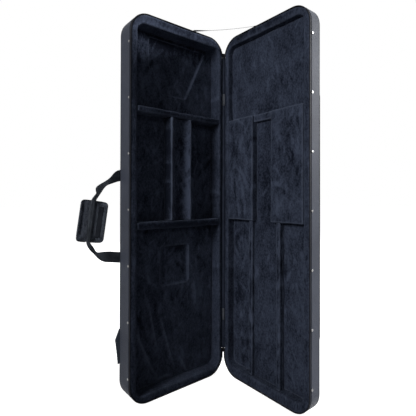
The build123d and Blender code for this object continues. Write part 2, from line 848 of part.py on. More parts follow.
def slider_body(seat):
    """Slider on a plane whose x is the pin's line, y up and z away from the chain."""
    with BuildPart() as body:
        with BuildSketch(seat.offset(slider_lift)):
            Rectangle(slider_width, slider_height)
        extrude(amount=slider_thickness)
        top = body.faces().sort_by(lambda face: seat.to_local_coords(face.center()).Z)[-1]
        fillet(top.edges(), radius=slider_round)
        ear_middle = (slider_width - ear_thickness) / 2 - slider_round / 2
        with BuildSketch(seat.offset(slider_lift + slider_thickness - slider_round)):
            with Locations((ear_middle, 0), (-ear_middle, 0)):
                Rectangle(ear_thickness, ear_height)
        extrude(amount=slider_round + ear_reach)
        pin_level = slider_lift + slider_thickness + ear_pin_height()
        pin_plane = Plane(
            origin=seat.from_local_coords((-slider_width, 0, pin_level)), z_dir=seat.x_dir
        )
        with BuildSketch(pin_plane):
            Circle(pin_radius + pin_clearance)
        extrude(amount=2 * slider_width, mode=Mode.SUBTRACT)
    return body.part


def zip_pull(seat):
    """Pull that hangs from a slider's pin, lying flat against it."""
    pin_level = slider_lift + slider_thickness + ear_pin_height()
    pin_length = slider_width - slider_round
    with BuildPart() as pull:
        pin_plane = Plane(
            origin=seat.from_local_coords((-pin_length / 2, 0, pin_level)), z_dir=seat.x_dir
        )
        with BuildSketch(pin_plane):
            Circle(pin_radius)
        extrude(amount=pin_length)
        neck_width = slider_width - slider_round - 2 * ear_thickness - 2 * run_gap
        with BuildSketch(seat.offset(pin_level - pull_thickness / 2)):
            with Locations((0, -slider_height / 4)):
                Rectangle(neck_width, slider_height / 2)
            with Locations((0, -(slider_height + pull_length) / 2)):
                RectangleRounded(pull_width, pull_length, pull_width / 3)
            with Locations((0, -slider_height / 2 - pull_length + pull_width / 2)):
                Circle(pull_hole_radius, mode=Mode.SUBTRACT)
        extrude(amount=pull_thickness)
    return pull.part


# Main zip sliders, parked where the chain ends at the spine, with their pulls hanging
spine_out = Vector(1, 1, 0).normalized()
spine_along = Vector(-1, 1, 0).normalized()
slider_heights = {
    "upper": strip_high + slider_end_gap + slider_height / 2,
    "lower": strip_low - slider_end_gap - slider_height / 2,
}
for name, height in slider_heights.items():
    seat = Plane(origin=(hinge_x, hinge_y, height), x_dir=spine_along, z_dir=spine_out)
    body = slider_body(seat)
    with BuildPart() as slider:
        add(body)
        with BuildSketch(floor_plane("base", height - slider_height / 2)):
            with BuildLine():
                Polyline(
                    (0, 0),
                    (0, chain_depth),
                    (-hinge_gap - slider_lift, chain_depth + slider_lift),
                    (-hinge_gap - 2 * slider_lift, 0),
                    close=True,
                )
            make_face()
        extrude(amount=SKYWARD["base"] * slider_height)
    save(slider.part, f"main_slider_{name}")
    save(zip_pull(seat), f"main_pull_{name}")

# Pocket slider and pull, at the zip's lower end where the pocket is shut
pocket_level = pocket_face + pocket_tape_thickness + pocket_coil_height + run_gap
pocket_slider_height = pocket_zip_range[0] + slider_height
seat_origin = place("lid", pocket_zip_out, pocket_slider_height, pocket_level - slider_lift)
pocket_seat = Plane(origin=seat_origin, x_dir=(0, 1, 0), z_dir=(1, 0, 0))
save(slider_body(pocket_seat), "pocket_slider")
save(zip_pull(pocket_seat), "pocket_pull")
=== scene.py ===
import math

import bpy
import numpy as np
from mathutils import Matrix, Vector


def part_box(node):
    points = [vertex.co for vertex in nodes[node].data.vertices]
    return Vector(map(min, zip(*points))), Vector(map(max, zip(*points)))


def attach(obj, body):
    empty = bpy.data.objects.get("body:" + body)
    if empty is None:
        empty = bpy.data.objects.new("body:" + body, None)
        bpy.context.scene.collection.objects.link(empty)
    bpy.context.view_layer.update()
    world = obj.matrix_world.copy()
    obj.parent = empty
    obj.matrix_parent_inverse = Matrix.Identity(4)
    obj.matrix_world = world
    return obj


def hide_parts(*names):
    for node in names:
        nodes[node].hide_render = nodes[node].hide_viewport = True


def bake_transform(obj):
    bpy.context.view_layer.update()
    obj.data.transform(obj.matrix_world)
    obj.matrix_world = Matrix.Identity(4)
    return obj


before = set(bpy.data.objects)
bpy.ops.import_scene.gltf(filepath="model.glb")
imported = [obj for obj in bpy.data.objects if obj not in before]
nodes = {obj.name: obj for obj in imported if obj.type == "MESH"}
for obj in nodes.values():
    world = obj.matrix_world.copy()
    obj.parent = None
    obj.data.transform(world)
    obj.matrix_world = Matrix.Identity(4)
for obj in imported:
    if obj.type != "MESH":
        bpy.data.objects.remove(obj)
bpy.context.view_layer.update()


# Camera. It stands in front of the base and left of the lid, about half the case's height
# above the floor, and looks nearly level into the corner where the halves meet.
camera_place = (-0.6756, -1.0259, 0.66)
camera_turn, camera_tilt, camera_roll = (math.radians(a) for a in (-39.077, 0.352, 0.139))


def add_object(name, data):
    """Puts data in the scene as an object."""
    made = bpy.data.objects.new(name, data)
    bpy.context.scene.collection.objects.link(made)
    return made


camera_data = bpy.data.cameras.new("studio_camera")
camera_data.sensor_width = 36.0
camera_data.lens = 30.146
camera_data.shift_x, camera_data.shift_y = -0.00413, -0.03533
camera_data.clip_start, camera_data.clip_end = 0.05, 60.0
camera = add_object("studio_camera", camera_data)
camera.matrix_world = (Matrix.Translation(camera_place) @ Matrix.Rotation(camera_turn, 4, "Z")
                       @ Matrix.Rotation(math.pi / 2 + camera_tilt, 4, "X")
                       @ Matrix.Rotation(camera_roll, 4, "Z"))
bpy.context.scene.camera = camera
bpy.context.scene.view_settings.view_transform = "Standard"


# Studio floor. A wide sheet of matt white paper that the case stands on. The camera sees
# it near white, and it keeps the soft shadow of the case.
floor_reach, floor_level = 40.0, -0.0005
paper_shadow_share = 0.45
paper_near, paper_far = 0.8, 2.6
paper_near_strength, paper_far_strength = 1.66, 1.84
paper_white, paper_bounce = (0.9, 0.9, 0.9), (0.16, 0.16, 0.17)


def feed(tree, node, inputs):
    """Gives each input of a node its value, or links it to the output that feeds it."""
    for label, value in inputs.items():
        socket = node.inputs[label]
        if isinstance(value, bpy.types.NodeSocket):
            tree.links.new(value, socket)
        else:
            socket.default_value = (*value, 1) if socket.type == "RGBA" else value


def add_node(tree, kind, inputs, output=0, **settings):
    """Adds a shader node with its settings and inputs, and returns one of its outputs."""
    made = tree.nodes.new("ShaderNode" + kind)
    for setting, value in settings.items():
        setattr(made, setting, value)
    feed(tree, made, inputs)
    return made.outputs[output]


def maths(tree, operation, *values):
    """A maths node on values or outputs."""
    return add_node(tree, "Math", dict(enumerate(values)), operation=operation)


def mixed(tree, share, first, second):
    """A mix of two colours by a share."""
    return add_node(tree, "Mix", {0: share, 6: first, 7: second}, 2, data_type="RGBA")


def seen_rays(tree):
    """1 for the rays that show the background: the camera's own, mirrored and through glass."""
    rays = add_node(tree, "LightPath", {}).node.outputs
    mirrored = maths(tree, "MAXIMUM", rays["Is Camera Ray"], rays["Is Glossy Ray"])
    return maths(tree, "MAXIMUM", mirrored, rays["Is Transmission Ray"])


def new_finish(name, roughness, **inputs):
    """A named material with its node tree and its shader, ready for the nodes that vary it."""
    finish = bpy.data.materials.new(name)
    finish.use_nodes = True
    shader = finish.node_tree.nodes["Principled BSDF"]
    inputs["Roughness"] = roughness
    feed(finish.node_tree, shader, {label.replace("_", " "): value for label, value in inputs.items()})
    return finish, finish.node_tree, shader


bpy.ops.mesh.primitive_plane_add(size=floor_reach, location=(0, 0, floor_level))
floor = bpy.context.object
floor.name = "studio_floor"
paper, tree, shader = new_finish("matt_paper", 0.9, Specular_IOR_Level=0.0)
paper_seen = seen_rays(tree)
feed(tree, shader, {"Base Color": mixed(tree, paper_seen, paper_bounce, paper_white)})
place_on = add_node(tree, "TexCoord", {}, "Object")
distance = add_node(tree, "VectorMath", {0: place_on}, "Value", operation="LENGTH")
strength = add_node(tree, "MapRange", {"Value": distance, "From Min": paper_near,
                                       "From Max": paper_far, "To Min": paper_near_strength,
                                       "To Max": paper_far_strength},
                    interpolation_type="SMOOTHSTEP")
paper_share = maths(tree, "MULTIPLY", paper_seen, 1 - paper_shadow_share)
paper_light = add_node(tree, "Emission", {"Strength": strength})
paper_mix = add_node(tree, "MixShader", {0: paper_share, 1: shader.outputs[0], 2: paper_light})
feed(tree, tree.nodes["Material Output"], {"Surface": paper_mix})
floor.data.materials.append(paper)


# Studio light. A soft lamp on the left rakes across the open halves, a weak one in front
# opens the shadows, one far on the right lights the lid's band, and one lights the back.
room_fill = 0.03
lamps = (
    # name, place, size and power
    ("left_soft_lamp", (-2.35, -0.5, 1.6), 0.7, 42.0),
    ("front_soft_lamp", (-1.3, -3.0, 1.9), 0.7, 8.0),
    ("right_soft_lamp", (3.0, -1.9, 2.0), 0.9, 300.0),
    ("back_soft_lamp", (1.1, 3.2, 1.7), 1.2, 110.0),
)
lamp_aim = Vector((0.05, -0.1, 0.6))

world = bpy.data.worlds.new("white_room")
bpy.context.scene.world = world
world.use_nodes = True
tree = world.node_tree
room = tree.nodes["Background"]
feed(tree, room, {"Color": (1, 1, 1), "Strength": room_fill})
room_white = add_node(tree, "Background", {"Color": (1, 1, 1), "Strength": 1.0})
room_mix = add_node(tree, "MixShader", {0: seen_rays(tree), 1: room.outputs[0], 2: room_white})
feed(tree, tree.nodes["World Output"], {"Surface": room_mix})

for name, lamp_place, size, power in lamps:
    lamp_data = bpy.data.lights.new(name, "AREA")
    lamp_data.shape = "SQUARE"
    lamp_data.size = size
    lamp_data.energy = power
    lamp = add_object(name, lamp_data)
    lamp.location = lamp_place
    lamp.rotation_euler = (lamp_aim - Vector(lamp_place)).to_track_quat("-Z", "Y").to_euler()


# Frame boards. Thin plywood trays inside each half, glued up from a rim strip and a floor,
# which give the soft case its shape. The cloth and the foam cover them all over.
board_dark, board_pale = (0.22, 0.15, 0.09), (0.36, 0.27, 0.17)


def new_effect(name, inputs, *outputs):
    """A node group for an effect that finishes share, with its input and its output sockets. An
    input with no value is a vector, one with three numbers is a colour, and others are levels."""
    effect = bpy.data.node_groups.new(name, "ShaderNodeTree")
    for label, value in inputs.items():
        kind = "Vector" if value is None else "Color" if isinstance(value, tuple) else "Float"
        socket = effect.interface.new_socket(label, in_out="INPUT", socket_type="NodeSocket" + kind)
        if value is not None:
            socket.default_value = (*value, 1) if kind == "Color" else value
    for label in outputs:
        kind = "Color" if label == "Color" else "Float"
        effect.interface.new_socket(label, in_out="OUTPUT", socket_type="NodeSocket" + kind)
    return effect, effect.nodes.new("NodeGroupInput").outputs, effect.nodes.new("NodeGroupOutput")


def dress(tree, shader, colour, height, strength, distance):
    """Feeds a shader its colour and, through a bump, its relief."""
    relief = add_node(tree, "Bump", {"Strength": strength, "Distance": distance, "Height": height})
    feed(tree, shader, {"Base Color": colour, "Normal": relief})


def cover(finish, *names):
    """Gives solids their finish and leaves their shapes as they are."""
    for name in names:
        nodes[name].data.materials.clear()
        nodes[name].data.materials.append(finish)


plywood, tree, shader = new_finish("plywood_board", 0.7)
stretch = add_node(tree, "Mapping", {"Vector": add_node(tree, "TexCoord", {}, "Object"),
                                     "Scale": (60, 60, 6)})
grain = add_node(tree, "TexNoise", {"Vector": stretch, "Scale": 4.0, "Detail": 6.0})
dress(tree, shader, mixed(tree, grain, board_dark, board_pale), grain, 0.2, 0.0005)
cover(plywood, "base_frame_board", "lid_frame_board")


# Side bands and outer panels. Heavy dark woven nylon with a coated back, stretched over the
# boards and glued: one long band round each half, and a flat panel sewn to it at the back.
shell_dark, shell_light = (0.023, 0.028, 0.043), (0.038, 0.045, 0.066)
panel_dark, panel_light = (0.024, 0.028, 0.038), (0.044, 0.05, 0.064)
thread_size = 0.0011
full_turn = 2 * math.pi

weave, given, result = new_effect("woven_threads", {"Vector": None, "Threads": 900.0}, "Height")
turns = maths(weave, "MULTIPLY", given["Threads"], full_turn)
scaled = add_node(weave, "VectorMath", {0: given["Vector"], "Scale": turns}, operation="SCALE")
axes = add_node(weave, "SeparateXYZ", {"Vector": scaled}).node.outputs
x_wave, y_wave, z_wave = (maths(weave, "SINE", axes[k]) for k in range(3))
total = maths(weave, "ADD", maths(weave, "ADD", x_wave, y_wave), z_wave)
level = add_node(weave, "MapRange", {"Value": total, "From Min": -3.0, "From Max": 3.0})
feed(weave, result, {"Height": level})

wear, given, result = new_effect("handling_wear",
                                 {"Vector": None, "Scale": 9.0, "Amount": 0.5}, "Mask")
broad = add_node(wear, "TexNoise", {"Vector": given["Vector"], "Scale": given["Scale"],
                                    "Detail": 5.0, "Roughness": 0.6})
patches = add_node(wear, "MapRange", {"Value": broad, "From Min": 0.35, "From Max": 0.72})
feed(wear, result, {"Mask": maths(wear, "MULTIPLY", patches, given["Amount"])})


def woven_finish(name, dark, light, threads, relief, roughness):
    """Woven cloth: fine threads in relief, with paler patches where it has been handled."""
    finish, tree, shader = new_finish(name, roughness, Specular_IOR_Level=0.06)
    place_on = add_node(tree, "TexCoord", {}, "Object")
    height = add_node(tree, "Group", {"Vector": place_on, "Threads": threads}, node_tree=weave)
    worn = add_node(tree, "Group", {"Vector": place_on, "Amount": 0.8}, node_tree=wear)
    dress(tree, shader, mixed(tree, worn, dark, light), height, 0.6, relief)
    return finish


shell_cloth = woven_finish("shell_cloth", shell_dark, shell_light, 1 / thread_size, 0.0004, 0.62)
shell_cloth.node_tree.nodes["Principled BSDF"].inputs["Sheen Weight"].default_value = 0.15
panel_cloth = woven_finish("panel_cloth", panel_dark, panel_light, 1 / thread_size, 0.0004, 0.7)
cover(shell_cloth, "base_side_band", "lid_side_band")
cover(panel_cloth, "base_outer_panel", "lid_outer_panel")


# Piping. A round cord in a strip of the band's cloth, sewn into the seam where the side band
# meets the outer panel, all round the back edge of each half.
piping_dark, piping_light = (0.015, 0.017, 0.023), (0.034, 0.038, 0.049)
piping_cloth = woven_finish("piping_cloth", piping_dark, piping_light, 1400, 0.0003, 0.55)
cover(piping_cloth, "base_piping", "lid_piping")


# Rivets. Nickel-plated domed rivets in a row along each long side, which hold the cloth and
# the foam lip to the board.
nickel_bright, nickel_dull = (0.26, 0.26, 0.26), (0.1, 0.1, 0.1)

nickel, tree, shader = new_finish("nickel_plate", 0.25, Metallic=1.0)
dulled = add_node(tree, "Group", {"Vector": add_node(tree, "TexCoord", {}, "Object"),
                                  "Scale": 420.0, "Amount": 1.0}, node_tree=wear)
rough = add_node(tree, "MapRange", {"Value": dulled, "To Min": 0.3, "To Max": 0.42})
feed(tree, shader, {"Base Color": mixed(tree, dulled, nickel_bright, nickel_dull),
                    "Roughness": rough})
cover(nickel, "base_rivets", "lid_rivets")


# Zip tape. Dark woven polyester tape, sewn along the rim of each half with two rows of
# stitches, from one end of the hinge strip round to the other.
halves = ("base", "lid")
x_axis, y_axis, z_axis = Vector((1, 0, 0)), Vector((0, 1, 0)), Vector((0, 0, 1))
tape_dark, tape_light = (0.016, 0.018, 0.025), (0.032, 0.036, 0.048)
thread_dark, thread_light = (0.02, 0.023, 0.031), (0.038, 0.043, 0.056)
thread_length, thread_width, stitch_pitch = 0.0034, 0.0007, 0.0046
corner_radius = 0.065
tape_rows, tape_inset = ((1, 0.0035), (2, 0.0068)), 0.0011
seam_from_back, seam_inset = 0.005, 0.0003
zip_tape_cloth = woven_finish("zip_tape_cloth", tape_dark, tape_light, 1100, 0.0004, 0.6)
cover(zip_tape_cloth, "base_zip_tape", "lid_zip_tape")

base_low, base_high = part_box("base_side_band")
lid_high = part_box("lid_side_band")[1]
base_rim_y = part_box("base_rim_foam")[0].y
lid_rim_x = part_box("lid_rim_foam")[0].x
case_width = base_high.x - base_low.x
case_length = base_high.z
hinge_low, hinge_high = (corner.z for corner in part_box("base_hinge_leaf"))


def place(half, out, up, depth):
    """A point of one half: out from the spine edge, up from the floor, and in from the rim."""
    if half == "base":
        return Vector((base_high.x - out, base_rim_y + depth, up))
    return Vector((lid_rim_x + depth, lid_high.y - out, up))


def pairs(line):
    """Each point of a line with the next."""
    return zip(line[:-1], line[1:])


def rim_line(half, inset, spacing, depth):
    """Evenly spaced points round the rim of a half, from the spine's top to its bottom, and the
    direction out of the band at each."""
    wide, tall = case_width - 2 * inset, case_length - 2 * inset
    bend = corner_radius - inset
    near, far = inset + bend, inset + wide - bend
    low, high = inset + bend, inset + tall - bend
    across = -x_axis if half == "base" else -y_axis
    points, outward = [], []

    def add(out, up, angle):
        points.append(place(half, out, up, depth))
        outward.append(across * math.cos(angle) + z_axis * math.sin(angle))

    def straight(start, end, angle):
        steps = max(1, round(math.dist(start, end) / spacing))
        for k in range(steps):
            add(start[0] + (end[0] - start[0]) * k / steps,
                start[1] + (end[1] - start[1]) * k / steps, angle)

    straight((inset, hinge_high), (inset, high), math.pi)
    for (out, up), first, start, end in (
            ((near, high), 180, (near, inset + tall), (far, inset + tall)),
            ((far, high), 90, (inset + wide, high), (inset + wide, low)),
            ((far, low), 0, (far, inset), (near, inset)),
            ((near, low), -90, (inset, low), (inset, hinge_low))):
        steps = max(2, round(bend * math.pi / 2 / spacing))
        for k in range(steps):
            angle = math.radians(first) - math.pi / 2 * k / steps
            add(out + bend * math.cos(angle), up + bend * math.sin(angle), angle)
        straight(start, end, math.radians(first - 90))
    add(inset, hinge_low, math.pi)
    return points, outward


def copies(name, shape, frames):
    """One mesh that holds a copy of a small shape at each place."""
    points = np.array([v.co for v in shape.vertices])
    faces = [tuple(face.vertices) for face in shape.polygons]
    all_points, all_faces = [], []
    for number, placed in enumerate(frames):
        all_points.append(points @ np.array(placed.to_3x3()).T + np.array(placed.translation))
        all_faces += [tuple(k + number * len(points) for k in face) for face in faces]
    mesh = bpy.data.meshes.new(name)
    mesh.from_pydata(np.concatenate(all_points).tolist(), [], all_faces)
    mesh.shade_smooth()
    return add_object(name, mesh)


def edit_all(change, **settings):
    """Runs a mesh operator on all of the active piece."""
    bpy.ops.object.mode_set(mode="EDIT")
    bpy.ops.mesh.select_all(action="SELECT")
    change(**settings)
    bpy.ops.object.mode_set(mode="OBJECT")


def pattern(name, rounding):
    """Rounds the edges of the small piece just made, and keeps only its mesh, to be copied."""
    piece = bpy.context.object
    bpy.ops.object.transform_apply(location=True, rotation=True, scale=True)
    edit_all(bpy.ops.mesh.bevel, offset=rounding, segments=1, affect="EDGES")
    shape = piece.data
    shape.name = name
    bpy.data.objects.remove(piece)
    return shape


def oriented(origin, along, outward):
    """A place whose X runs along a line and whose Z points out of the surface."""
    x = along.normalized()
    y = outward.cross(x).normalized()
    turn = Matrix((x, y, x.cross(y))).transposed()
    return Matrix.Translation(origin) @ turn.to_4x4()


def laid(line, outward):
    """A place between each two points of a line, with the side that faces out, or one at each."""
    faces = outward if isinstance(outward, list) else [outward] * len(line)
    return [oriented((a + b) / 2, b - a, face) for (a, b), face in zip(pairs(line), faces)]


def finish_piece(piece, finish, body, slot, *replaced):
    """Puts the finish on a piece, hides the solids it stands for, and lets it ride on its body.
    A piece that spans both halves has no body here."""
    piece.data.materials.clear()
    piece.data.materials.append(finish)
    if replaced:
        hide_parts(*replaced)
    if body:
        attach(piece, body)
    return piece


bpy.ops.mesh.primitive_cylinder_add(vertices=6, radius=thread_width / 2, depth=thread_length,
                                    rotation=(0, math.pi / 2, 0))
stitch = pattern("stitch", 0.00028)
thread_finish = woven_finish("sewing_thread", thread_dark, thread_light, 2200, 0.0001, 0.5)


def stitch_row(name, line, outward, body):
    """Stitches laid head to tail along a line of points, on the side that faces out."""
    return finish_piece(copies(name, stitch, laid(line, outward)), thread_finish, body, "zip_tape")


def band_row(name, half, inset, depth):
    """A row of stitches round the band of one half."""
    stitch_row(name, *rim_line(half, inset, stitch_pitch, depth), half)


for half in halves:
    for number, depth in tape_rows:
        band_row(f"{half}_tape_stitches_{number}", half, tape_inset, depth)
    band_depth = base_high.y - base_rim_y if half == "base" else lid_high.x - lid_rim_x
    band_row(f"{half}_band_stitches", half, seam_inset, band_depth - seam_from_back)


# Zip chain. A coil of black nylon, woven to the tape's edge, whose turns lock into those of
# the other half. Here the halves are open, and the turns of each stand free on the rim.
tooth_pitch = 0.0024
tooth_long, tooth_wide, tooth_high = 0.003, 0.0014, 0.002
coil_inset, coil_depth = 0.001, 0.0007
nylon_dark, nylon_light = (0.006, 0.006, 0.008), (0.02, 0.02, 0.024)

coil_nylon = woven_finish("coil_nylon", nylon_dark, nylon_light, 500, 0.0001, 0.7)
cover(coil_nylon, "base_zip_chain", "lid_zip_chain")
bpy.ops.mesh.primitive_cube_add(size=1, scale=(tooth_wide, tooth_high, tooth_long))
tooth = pattern("zip_tooth", 0.0005)
for half, outward in zip(halves, (-y_axis, -x_axis)):
    ring = laid(rim_line(half, coil_inset, tooth_pitch, coil_depth)[0], outward)
    finish_piece(copies(half + "_coil_turns", tooth, ring), coil_nylon, half, "zip_coil")


# Rim foam. A moulded lip of soft foam round each half, covered in short-pile plush that is
# glued down over its rounded edge. It closes against the lip of the other half.
# The third colour is a painted highlight for pile that bends over an edge; the fourth is the shader's
# own sheen tint.
plush_dark, plush_light = (0.0068, 0.0088, 0.016), (0.056, 0.069, 0.106)
plush_highlight, plush_sheen = (0.105, 0.127, 0.18), (0.5, 0.6, 0.85)

# The pile's colour: random patches, tufts and streaks; a stored mark that adds nap strokes together
# with painted shade and painted highlights; and a painted highlight colour where the surface bends
# out.
pile, pile_given, result = new_effect(
    "pile_tone_and_painted_light", {"Vector": None, "Dark": plush_dark, "Light": plush_light,
                     "Highlight": plush_highlight, "Brush": 0.0, "Bend": 0.0}, "Color", "Height")


def pile_noise(stretch, turn, detail, low, high):
    """One size of unevenness in the pile, as a level from 0 to 1, and the raw noise."""
    placed = add_node(pile, "Mapping", {"Vector": pile_given["Vector"], "Rotation": turn,
                                        "Scale": stretch})
    noise = add_node(pile, "TexNoise", {"Vector": placed, "Scale": 1.0, "Detail": detail,
                                        "Roughness": 0.6})
    return add_node(pile, "MapRange", {"Value": noise, "From Min": low, "From Max": high}), noise


def pile_sum(total, *shares):
    """A starting level and the given outputs, each times its share."""
    for level, share in shares:
        total = maths(pile, "MULTIPLY_ADD", level, share, total)
    return total


patch_level = pile_noise((17, 17, 13), (0.3, 0.1, 0.2), 4.0, 0.36, 0.64)[0]
streak_level, streak_noise = pile_noise((95, 95, 40), (0.3, 0.25, 0.15), 3.0, 0.34, 0.66)
tuft_level, tuft_noise = pile_noise((210, 210, 150), (0.2, 0.4, 0.1), 4.0, 0.36, 0.64)
hair_noise = pile_noise((1500, 1500, 900), (0.1, 0.2, 0.0), 1.0, 0.0, 1.0)[1]
pile_tone = pile_sum(-0.06, (patch_level, 0.34), (streak_level, 0.24), (tuft_level, 0.48),
                     (pile_given["Brush"], 0.62))
pile_colour = mixed(pile, pile_tone, pile_given["Dark"], pile_given["Light"])
# Painted highlight: where the surface bends out, the pile's colour moves towards the highlight colour.
highlight_share = maths(pile, "MULTIPLY", pile_given["Bend"], 0.6)
highlight_share.node.use_clamp = True
pile_height = pile_sum(0.0, (hair_noise, 0.5), (tuft_noise, 0.8), (streak_noise, 1.0))
feed(pile, result, {"Color": mixed(pile, highlight_share, pile_colour, pile_given["Highlight"]),
                    "Height": pile_height})


def plush_finish(name, **tones):
    """Short plush: random patches, a stored mark of nap strokes with painted shade and painted
    highlights, hair in relief, and a painted highlight where it bends over an edge.
    """
    finish, tree, shader = new_finish(name, 0.95, Sheen_Weight=0.12, Sheen_Roughness=0.45,
                                      Sheen_Tint=plush_sheen, Specular_IOR_Level=0.02)
    tones["Vector"] = add_node(tree, "TexCoord", {}, "Object")
    for label in ("Brush", "Bend"):
        tones[label] = add_node(tree, "Attribute", {}, "Fac", attribute_name=label.lower())
    pile_on = add_node(tree, "Group", tones, node_tree=pile).node.outputs
    dress(tree, shader, pile_on["Color"], pile_on["Height"], 0.6, 0.0016)
    return finish


plush = plush_finish("plush_lining")


def make_active(piece):
    """Selects one piece for the operators that follow."""
    bpy.ops.object.select_all(action="DESELECT")
    bpy.context.view_layer.objects.active = piece
    piece.select_set(True)


def apply_modifier(piece, kind, **settings):
    """Adds a modifier with its settings and applies it at once."""
    make_active(piece)
    modifier = piece.modifiers.new(kind.lower(), kind)
    for setting, value in settings.items():
        setattr(modifier, setting, value)
    bpy.ops.object.modifier_apply(modifier=modifier.name)


def foam_block(name, node, voxel, rounding):
    """A block of foam in the space of its solid, remeshed evenly and rounded at its edges."""
    block = add_object(name, nodes[node].data.copy())
    block.data.materials.clear()
    make_active(block)
    edit_all(bpy.ops.mesh.remove_doubles, threshold=0.00002)
    apply_modifier(block, "REMESH", mode="VOXEL", voxel_size=voxel)
    apply_modifier(block, "SMOOTH", factor=0.5, iterations=rounding)
    return block


def read_vertices(piece, what):
    """The places ("co") or the directions ("normal") of the piece's vertices, one row each."""
    flat = np.empty(len(piece.data.vertices) * 3)
    piece.data.vertices.foreach_get(what, flat)
    return flat.reshape(-1, 3)


def move_vertices(piece, points):
    """Puts an array back as the piece's vertices."""
    piece.data.vertices.foreach_set("co", points.ravel())
    piece.data.update()


def mark_vertices(piece, name, values):
    """Stores one number for each vertex, which a finish reads by its name."""
    mark = piece.data.attributes.new(name, "FLOAT", "POINT")
    mark.data.foreach_set("value", values.astype(np.float32))


def ripple(points, size, seed):
    """A smooth uneven field from -1 to 1, a few waves across and along, the same each run."""
    draw = np.random.default_rng(seed)
    field = np.zeros(len(points))
    waves = 9
    for _ in range(waves):
        way = draw.normal(size=3)
        way /= np.linalg.norm(way)
        length = size * (0.6 + 0.9 * draw.random())
        field += np.sin(points @ way * 2 * math.pi / length + draw.random() * 2 * math.pi)
    return field / math.sqrt(waves)


lip_wide = 0.0182
# Where the painted edge highlight starts, how fast it grows with the bend, and how strong it is on
# each kind of part.
bend_start, bend_gain = 0.12, 7
highlight_shares = {"rim_foam": 0.25, "body_divider": 0.45, "head_divider": 0.6}


def mark_edge_highlights(piece, node):
    """Stores how far the surface bends out at each vertex, as a painted highlight on the pile there.
    Where a block meets the lip, its edge is pressed flat and gets no painted highlight."""
    points = read_vertices(piece, "co")
    ends = np.empty(len(piece.data.edges) * 2, int)
    piece.data.edges.foreach_get("vertices", ends)
    first, second = ends.reshape(-1, 2).T
    count = np.maximum(np.bincount(ends, minlength=len(points)), 1)

    def around(values):
        total = np.zeros_like(values)
        np.add.at(total, first, values[second])
        np.add.at(total, second, values[first])
        return total

    step = np.linalg.norm(points[first] - points[second], axis=1).mean()
    past = points - around(points) / count[:, None]
    bend = (past * read_vertices(piece, "normal")).sum(1) / step * bend_gain - bend_start
    bend = 0.6 * bend + 0.4 * around(bend) / count
    half, part = node.split("_", 1)
    if part != "rim_foam":
        out, up, depth = on_face(points, half)
        from_lip = np.minimum(np.minimum(out - lip_wide, case_width - lip_wide - out),
                              np.minimum(up - lip_wide, case_length - lip_wide - up))
        bend *= np.clip((from_lip - 0.001) / 0.01, 0, 1)
    mark_vertices(piece, "bend", np.clip(bend, 0, 1) * highlight_shares.get(part, 1.0))


def on_face(points, half):
    """Where points lie on a half: out from the spine edge, up, and in from the rim."""
    if half == "base":
        return base_high.x - points[:, 0], points[:, 2], points[:, 1] - base_rim_y
    return lid_high.y - points[:, 1], points[:, 2], points[:, 0] - lid_rim_x


def by_line(out, up, line):
    """How far each point is from a line of points (out, up), on which side, and how far along."""
    best = np.full(len(out), 9.0)
    side = np.zeros(len(out))
    share = np.zeros(len(out))
    for number, (start, end) in enumerate(pairs(line)):
        run_out, run_up = end[0] - start[0], end[1] - start[1]
        length = math.hypot(run_out, run_up)
        from_out, from_up = out - start[0], up - start[1]
        along = np.clip((from_out * run_out + from_up * run_up) / length ** 2, 0, 1)
        far_out, far_up = from_out - along * run_out, from_up - along * run_up
        far = np.hypot(far_out, far_up)
        closer = far < best
        best[closer] = far[closer]
        side[closer] = ((far_out * run_up - far_up * run_out) / length)[closer]
        share[closer] = ((number + along) / (len(line) - 1))[closer]
    return best, side, share


def near_line(out, up, line, width, ends, sharpness):
    """A soft mark along a line, 1 on it, which fades over its width and at its ends."""
    best, side, share = by_line(out, up, line)
    fade = np.sin(np.clip(share, ends, 1 - ends) * math.pi) ** sharpness
    return fade * np.exp(-(best / width) ** 2)


def tone_pile_and_paint_light(piece, half, strokes, seed, marks):
    """Strokes of a hand through the pile, paler or darker by how the hair lies. The listed marks,
    which show most, are partly nap and partly painted shade and painted highlights; each has a
    line of points (out, up), a half width and a strength."""
    out, up, depth = on_face(read_vertices(piece, "co"), half)
    tone = np.zeros(len(out))
    draw = np.random.default_rng(seed)
    for _ in range(strokes):
        line = [np.array([side.min() + np.ptp(side) * draw.random() for side in (out, up)])]
        lean = draw.normal() * 0.5
        step = 0.0075 + 0.03 * draw.random()
        line.append(line[0] + step * np.array((math.sin(lean), math.cos(lean))))
        lean += draw.normal() * 0.2
        line.append(line[1] + step * np.array((math.sin(lean), math.cos(lean))))
        width = 0.002 + 0.006 * draw.random() ** 2
        strength = (0.35 + 0.45 * draw.random()) * (1 if draw.random() < 0.55 else -0.8)
        tone += strength * near_line(out, up, line, width, 0.05, 1)
    for line, width, strength in marks:
        tone += strength * near_line(out, up, line, width, 0.1, 0.5)
    mark_vertices(piece, "brush", np.clip(tone, -1.2, 1.4))


def finish_foam(block, finish, body, slot, node, fill, unevenness, seed):
    """The last steps of a foam piece: a slightly uneven surface, its bend mark and its finish."""
    points = read_vertices(block, "co")
    uneven = 0.6 * ripple(points, 0.11, seed) + 0.4 * ripple(points, 0.035, seed + 50)
    points += read_vertices(block, "normal") * (uneven * unevenness)[:, None]
    if node.endswith("_rim_foam"):
        low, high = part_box(node)
        points = np.clip(points, tuple(low), tuple(high))
    move_vertices(block, points)
    block.data.shade_smooth()
    mark_edge_highlights(block, node)
    finish_piece(block, finish, body, slot, node)


def plush_block(name, half, part, voxel, rounding, seed, strokes, marks):
    """A foam block covered in plush, in the space of its solid."""
    node = f"{half}_{part}"
    block = foam_block(name, node, voxel, rounding)
    finish_foam(block, plush, half, "plush", node, fill=0.8, unevenness=0.0009, seed=seed)
    tone_pile_and_paint_light(block, half, strokes, seed, marks)
    return block


